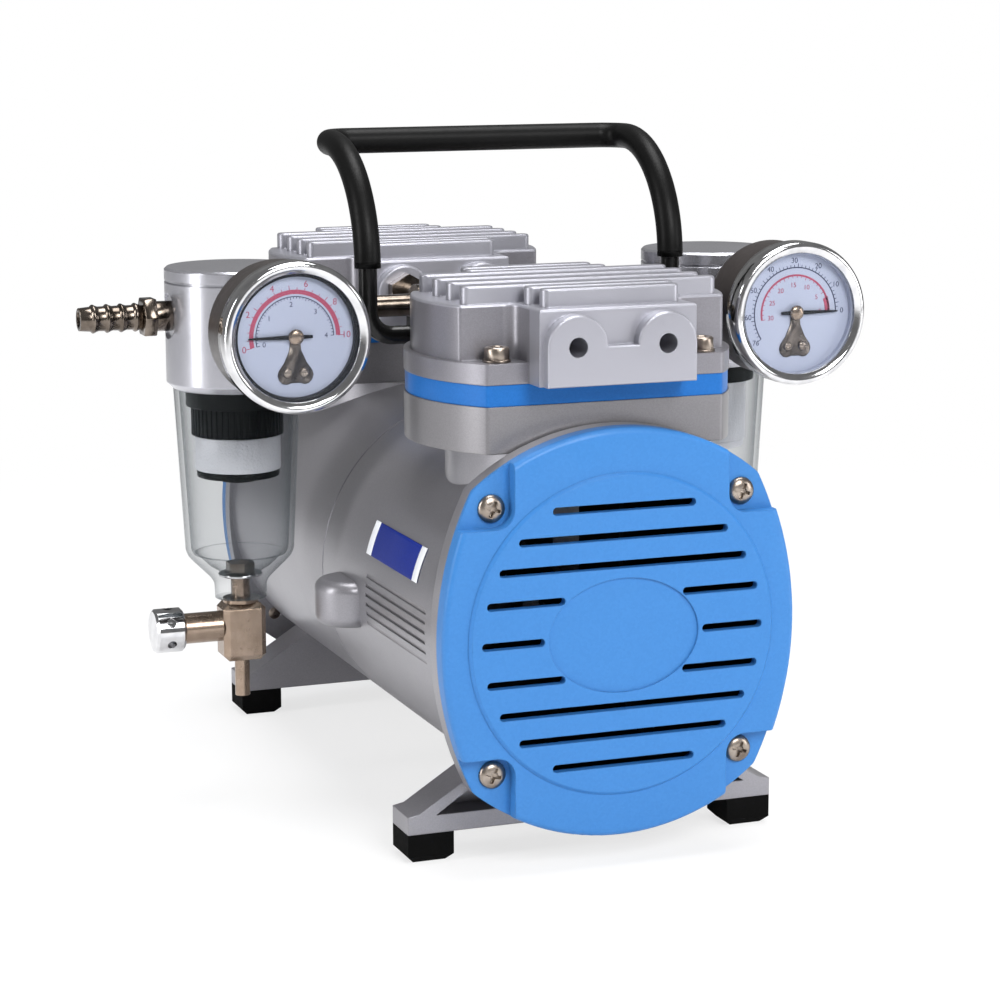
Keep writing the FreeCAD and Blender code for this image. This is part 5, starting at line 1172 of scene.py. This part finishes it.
@dataclass
class GaugeUnit(SideUnit):
    """Gauge of one side: bezel, printed dial, movement plate and pointer."""

    prints: Sequence[DialPrint]
    dial_edge: float = 20.5
    # Black on the left gauge as painted shade for the gap round the dial; the right gauge's ring is
    # dial coloured.
    spacer_finish: Plastic = BLACK
    dial: float = -75.6
    print_thick: float = 0.06
    arc_thick: float = 0.05
    mark_width: float = 0.22
    long_mark: float = 1.5
    long_every: int = 5
    font_size: float = 1.35
    plate_thick: float = 0.35
    plate_screw: float = 2.9
    plate_screw_down: float = 12.2
    needle: float = -76.4
    needle_thick: float = 0.5
    clothes = {CASE: ("gauge_case",), DIAL: ("gauge_dial",), GLASS: ("gauge_glass",)}

    @property
    def line(self) -> Line:
        """The gauge's axis, pointing out of its face."""
        return Line((self.side.x, 0, PORT_Z), (0, -1, 0), (1, 0, 0))

    def on_dial(self, radius: float, angle: float) -> tuple[float, float]:
        """X and Z of a point on the dial, its angle in degrees clockwise from the left."""
        turn = math.radians(180 - angle)
        return self.side.x + radius * math.cos(turn), PORT_Z + radius * math.sin(turn)

    def mark(self, radius: float, angle: float, length: float) -> Piece:
        """A straight printed mark that points away from the hub.

        Args:
            radius: Radius of its inner end.
            angle: Its angle on the dial.
            length: Its length.

        Returns:
            The piece.
        """
        x, z = self.on_dial(radius + length / 2, angle)
        half = self.mark_width / 2
        piece = block("mark", (-length / 2, self.dial - self.print_thick, -half),
                      (length / 2, self.dial, half))
        turn = Matrix.Rotation(-math.radians(180 - angle), 4, "Y")
        piece.data.transform(shift(x, 0, z) @ turn)
        return piece

    def arc(self, scale: DialPrint) -> Piece:
        """The printed arc of a scale.

        Args:
            scale: The scale.

        Returns:
            The piece.
        """
        turn = math.radians(180 - scale.start)
        line = Line(self.line.origin, (0, -1, 0), (math.cos(turn), 0, math.sin(turn)))
        face = -self.dial + self.print_thick / 2
        half = scale.width / 2
        piece = turned("arc", line, [(scale.radius - half, face), (scale.radius + half, face)], 72,
                       -scale.sweep)
        return walled(piece, self.arc_thick)

    def number(self, text: str, scale: DialPrint, angle: float) -> Piece:
        """A printed number.

        Args:
            text: The number.
            scale: The scale to which it belongs.
            angle: Its angle on the dial.

        Returns:
            The piece.
        """
        clear_selection()
        bpy.ops.object.text_add(rotation=(math.pi / 2, 0, 0))
        font = bpy.context.object.data
        font.body = text
        font.size = scale.size * MM * self.font_size
        font.align_x = "CENTER"
        font.align_y = "CENTER"
        font.extrude = self.print_thick / 2 * MM
        bpy.ops.object.convert(target="MESH")
        piece = settled("number")
        x, z = self.on_dial(scale.number_radius, angle)
        piece.data.transform(shift(x, self.dial - self.print_thick / 2, z))
        return piece

    def printing(self, scale: DialPrint, index: int) -> None:
        """Print one scale on the dial.

        Args:
            scale: The scale.
            index: Its place among the dial's scales.
        """
        pieces = [self.arc(scale)]
        for step in range(scale.ticks + 1):
            angle = scale.start + scale.sweep * step / scale.ticks
            length = scale.tick * (1.0 if step % self.long_every else self.long_mark)
            pieces.append(self.mark(scale.radius + min(length, 0), angle, abs(length)))
        steps = max(len(scale.numbers) - 1, 1)
        for step, text in enumerate(scale.numbers):
            pieces.append(self.number(text, scale, scale.start + scale.sweep * step / steps))
        fitted(joined(self.named(f"dial_scale_{index}"), pieces), scale.ink.value)

    def bezel(self) -> Piece:
        """The chromed bezel with its rolled lip."""
        profile = [(24.45, 72.3), (25.6, 72.3), (25.8, 72.6), (25.8, 79.2), (25.5, 80.1),
                   (24.9, 80.6), (24.1, 80.8), (23.2, 80.6), (22.3, 79.9), (21.7, 79.45),
                   (24.45, 79.4), (24.45, 72.3)]
        return self.spun("bezel", self.line, profile, 112)

    def plate(self) -> Piece:
        """The movement's plate below the hub."""
        half = [(1.8, -1.0), (2.1, -4.5), (3.9, -8.6), (5.9, -11.4), (6.3, -12.9), (5.8, -14.6),
                (4.6, -15.8), (3.1, -16.1), (1.5, -15.6)]
        outline = half + [(-across, down) for across, down in reversed(half)]
        corners = [(self.side.x + across, self.dial, PORT_Z + down) for across, down in outline]
        return softened(slab(self.named("movement_plate"), corners, self.plate_thick), 0.12)

    def plate_screws(self) -> Piece:
        """Two slotted screws on the movement's plate."""
        screws = []
        z = PORT_Z - self.plate_screw_down
        for side in (-1, 1):
            x = self.side.x + side * self.plate_screw
            start = -self.dial + 0.3
            head = turned("head", Line((x, 0, z), (0, -1, 0), (1, 0, 0)),
                          [(0, start), (1.7, start), (1.7, start + 0.3), (1.3, start + 0.75),
                           (0, start + 1.0)], 28)
            slot = block("slot", (x - 2, self.dial - 1.5, z - 0.2), (x + 2, self.dial - 1, z + 0.2))
            screws.append(softened(cut_by(head, slot), 0.06))
        return joined(self.named("plate_screws"), screws)

    def spacer(self) -> Piece:
        """The ring between the dial and the glass; on the left gauge it is black, a dark ring that
        stands for the shade in the gap round the dial.
        """
        inner = self.dial_edge
        profile = [(inner, 75.65), (22.4, 75.65), (22.4, 78.15), (inner + 0.3, 78.15),
                   (inner, 77.9), (inner, 75.65)]
        return self.spun("dial_ring", self.line, profile, 112)

    def pointer(self) -> Piece:
        """The needle, pointing outwards, with its thin tail and its spindle."""
        half = [(16.45, 0.2), (15.6, 0.32), (0.0, 0.85), (-5.95, 0.5)]
        outline = half + [(out, -up) for out, up in reversed(half)]
        corners = [((UNIT_X + out) * self.side.value, self.needle, PORT_Z + up)
                   for out, up in outline]
        needle = slab("needle", corners, self.needle_thick)
        spindle = turned("spindle", self.line, [(0, 69.45), (0.9, 69.45), (1.0, 69.6), (1.0, 76.0),
                                                (2.0, 76.1), (2.0, 76.95), (0, 76.95)], 32)
        return joined(self.named("needle"), [softened(needle, 0), softened(spindle, 0)])

    def hub(self) -> Piece:
        """The domed cap on the pointer's hub."""
        profile = [(0, 76.9), (2.7, 76.9), (2.75, 77.1), (2.6, 77.45), (2.1, 77.8), (1.2, 78.0),
                   (0, 78.05)]
        return self.spun("hub_cap", self.line, profile, 40)

    def build(self) -> None:
        """Build the gauge's own pieces."""
        pointer = self.named("pointer")
        fitted(self.pointer(), BLACK, body=pointer,
               stands_for=[self.named("gauge_pointer")])
        fitted(self.hub(), BRASS, body=pointer)
        fitted(self.spacer(), self.spacer_finish)
        fitted(self.bezel(), CHROME, stands_for=[self.named("gauge_bezel")])
        fitted(self.plate(), PEWTER)
        fitted(self.plate_screws(), SCREW)
        for index, scale in enumerate(self.prints):
            self.printing(scale, index)


class CarryHandle(SubAssembly):
    """Bent rod with its soft sleeve and two clamps."""

    clothes = {ENAMEL: ("handle_rod",), SLEEVE: ("handle_sleeve",), BLACK: ("handle_clamps",)}


class Pipework(SubAssembly):
    """Pipes between the heads and the filter units, with their nuts."""

    clothes = {NICKEL: ("left_transfer_tube", "right_transfer_tube", "tube_nuts", "drain_nuts")}


class TerminalBox(SubAssembly):
    """Terminal box with its rocker switch and cord gland."""

    clothes = {BLACK: ("terminal_box", "cord_gland", "switch_rocker")}


class Internals(SubAssembly):
    """Motor, crank drive and the gauges' movements."""

    clothes = {
        SHEETS: ("stator_core", "rotor_core"), COPPER: ("stator_windings",),
        STEEL: ("main_bearings", "shaft"), IRON: ("eccentrics",), BLACK: ("cooling_fans",),
        ALLOY: ("front_rod", "rear_rod"), SEAL: ("front_cup", "rear_cup"),
        BRASS: ("gauge_movements",)}


@dataclass
class Studio:
    """Pale floor, white surroundings, four soft lamps and the camera."""

    camera_place: Point = (-0.3566338, -0.9664571, 0.2932066)
    yaw: float = 20.6969
    pitch: float = 10.5298
    roll: float = -0.1715
    lens: float = 99.797
    target: Point = (0.0, 0.0, 0.12)
    floor_size: float = 12.0
    floor_glow: float = 0.72
    daylight: float = 0.36
    reflected: float = 0.14

    def camera(self) -> None:
        """Set the camera at the photograph's place."""
        data = bpy.data.cameras.new("camera")
        data.lens = self.lens
        data.sensor_width = 36.0
        data.clip_start = 0.01
        item = linked("camera", data)
        turn = (Matrix.Rotation(-math.radians(self.yaw), 4, "Z")
                @ Matrix.Rotation(math.radians(90 - self.pitch), 4, "X")
                @ Matrix.Rotation(math.radians(self.roll), 4, "Z"))
        item.matrix_world = Matrix.Translation(self.camera_place) @ turn
        bpy.context.scene.camera = item

    def lamp(self, name: str, place: Point, size: float, tall: float, power: float) -> None:
        """A soft lamp that shines at the pump.

        Args:
            name: Its name.
            place: Its place in metres.
            size: Its width in metres.
            tall: Its height in metres.
            power: Its power in watts.
        """
        data = bpy.data.lights.new(name, "AREA")
        data.shape = "RECTANGLE"
        data.energy = power
        data.size = size
        data.size_y = tall
        item = linked(name, data)
        heading = Vector(self.target) - Vector(place)
        item.location = place
        item.rotation_euler = heading.to_track_quat("-Z", "Y").to_euler()

    def floor(self) -> None:
        """A pale floor that looks white to the camera and keeps a soft shadow."""
        clear_selection()
        bpy.ops.mesh.primitive_grid_add(x_subdivisions=8, y_subdivisions=8, size=self.floor_size)
        floor = settled("floor")
        material = bpy.data.materials.new("pale_floor")
        graph = Graph(material)
        tone = graph.mix(graph.noise(0.4, 2.0), (0.86, 0.86, 0.865), (0.90, 0.90, 0.905))
        ground = graph.node("ShaderNodeBsdfDiffuse", {}, {"Color": tone})
        glow = graph.node("ShaderNodeEmission", {}, {"Color": (1, 1, 1), "Strength": 1.0})
        seen = graph.node("ShaderNodeLightPath", {}, {}, "Is Camera Ray")
        away = graph.node("ShaderNodeVectorMath", {"operation": "LENGTH"}, {0: graph.place},
                          "Value")
        shown = seen * (away.above(0.5, 0.5) * (1.0 - self.floor_glow) + self.floor_glow)
        graph.close(graph.mixed(shown, ground, glow))
        floor.data.materials.append(material)

    def surroundings(self) -> None:
        """White to the camera and through glass, dimmer as a light and in reflections."""
        world = bpy.data.worlds.new("white_studio")
        bpy.context.scene.world = world
        graph = Graph(world)
        camera, through, glossy = (
            graph.node("ShaderNodeLightPath", {}, {}, f"Is {ray} Ray")
            for ray in ("Camera", "Transmission", "Glossy"))
        strength = (camera.most(through) * (1.0 - self.daylight) + self.daylight
                    - glossy * self.reflected)
        light = graph.node("ShaderNodeBackground", {}, {"Color": (1, 1, 1), "Strength": strength})
        graph.close(light, "ShaderNodeOutputWorld")

    def build(self) -> None:
        """Set up the whole studio."""
        bpy.context.scene.view_settings.view_transform = "Standard"
        self.camera()
        self.floor()
        self.surroundings()
        self.lamp("key_lamp", (0.15, -1.35, 0.95), 0.6, 0.6, 19.0)
        self.lamp("top_lamp", (0.15, 0.05, 1.45), 0.8, 0.8, 19.0)
        self.lamp("side_lamp", (-1.2, -0.15, 0.45), 0.22, 0.9, 8.0)
        self.lamp("fill_lamp", (1.2, -0.95, 0.35), 0.5, 0.6, 6.0)


LEFT_PRINTS = (
    DialPrint(Ink.RED, 15.2, -12, 192, ("0", "2", "4", "6", "8", "10"), 18.1, 2.3, 20, 1.5, 1.5),
    DialPrint(Ink.DARK, 13.6, -12, 192, ("0", "1", "2", "3", "4"), 11.0, 1.8, 40, -0.7, 0.3))
RIGHT_PRINTS = (
    DialPrint(Ink.DARK, 16.2, -34, 214, ("76", "60", "50", "40", "30", "20", "10", "0"), 18.7,
              2.0, 42, 1.0, 0.4),
    DialPrint(Ink.RED, 13.4, -10, 190, ("30", "25", "20", "15", "10", "5", "0"), 9.9, 1.8, 24,
              -0.9, 0.7),
    DialPrint(Ink.RED, 12.9, 158, 22, (), 9.7, 1.8, 4, 0.8, 2.0))


def main() -> None:
    """Build and dress the whole pump and its studio."""
    logging.basicConfig(level=logging.INFO, format="%(message)s")
    Studio().build()
    groups = [Castings(), Covers(), HeadScrews(), *map(FilterUnit, Side),
              GaugeUnit(Side.LEFT, LEFT_PRINTS), GaugeUnit(Side.RIGHT, RIGHT_PRINTS, 21.5, DIAL),
              CarryHandle(), Pipework(), TerminalBox(), Internals()]
    for group in groups:
        group.build()
        group.dress()


if __name__ == "__main__":
    main()
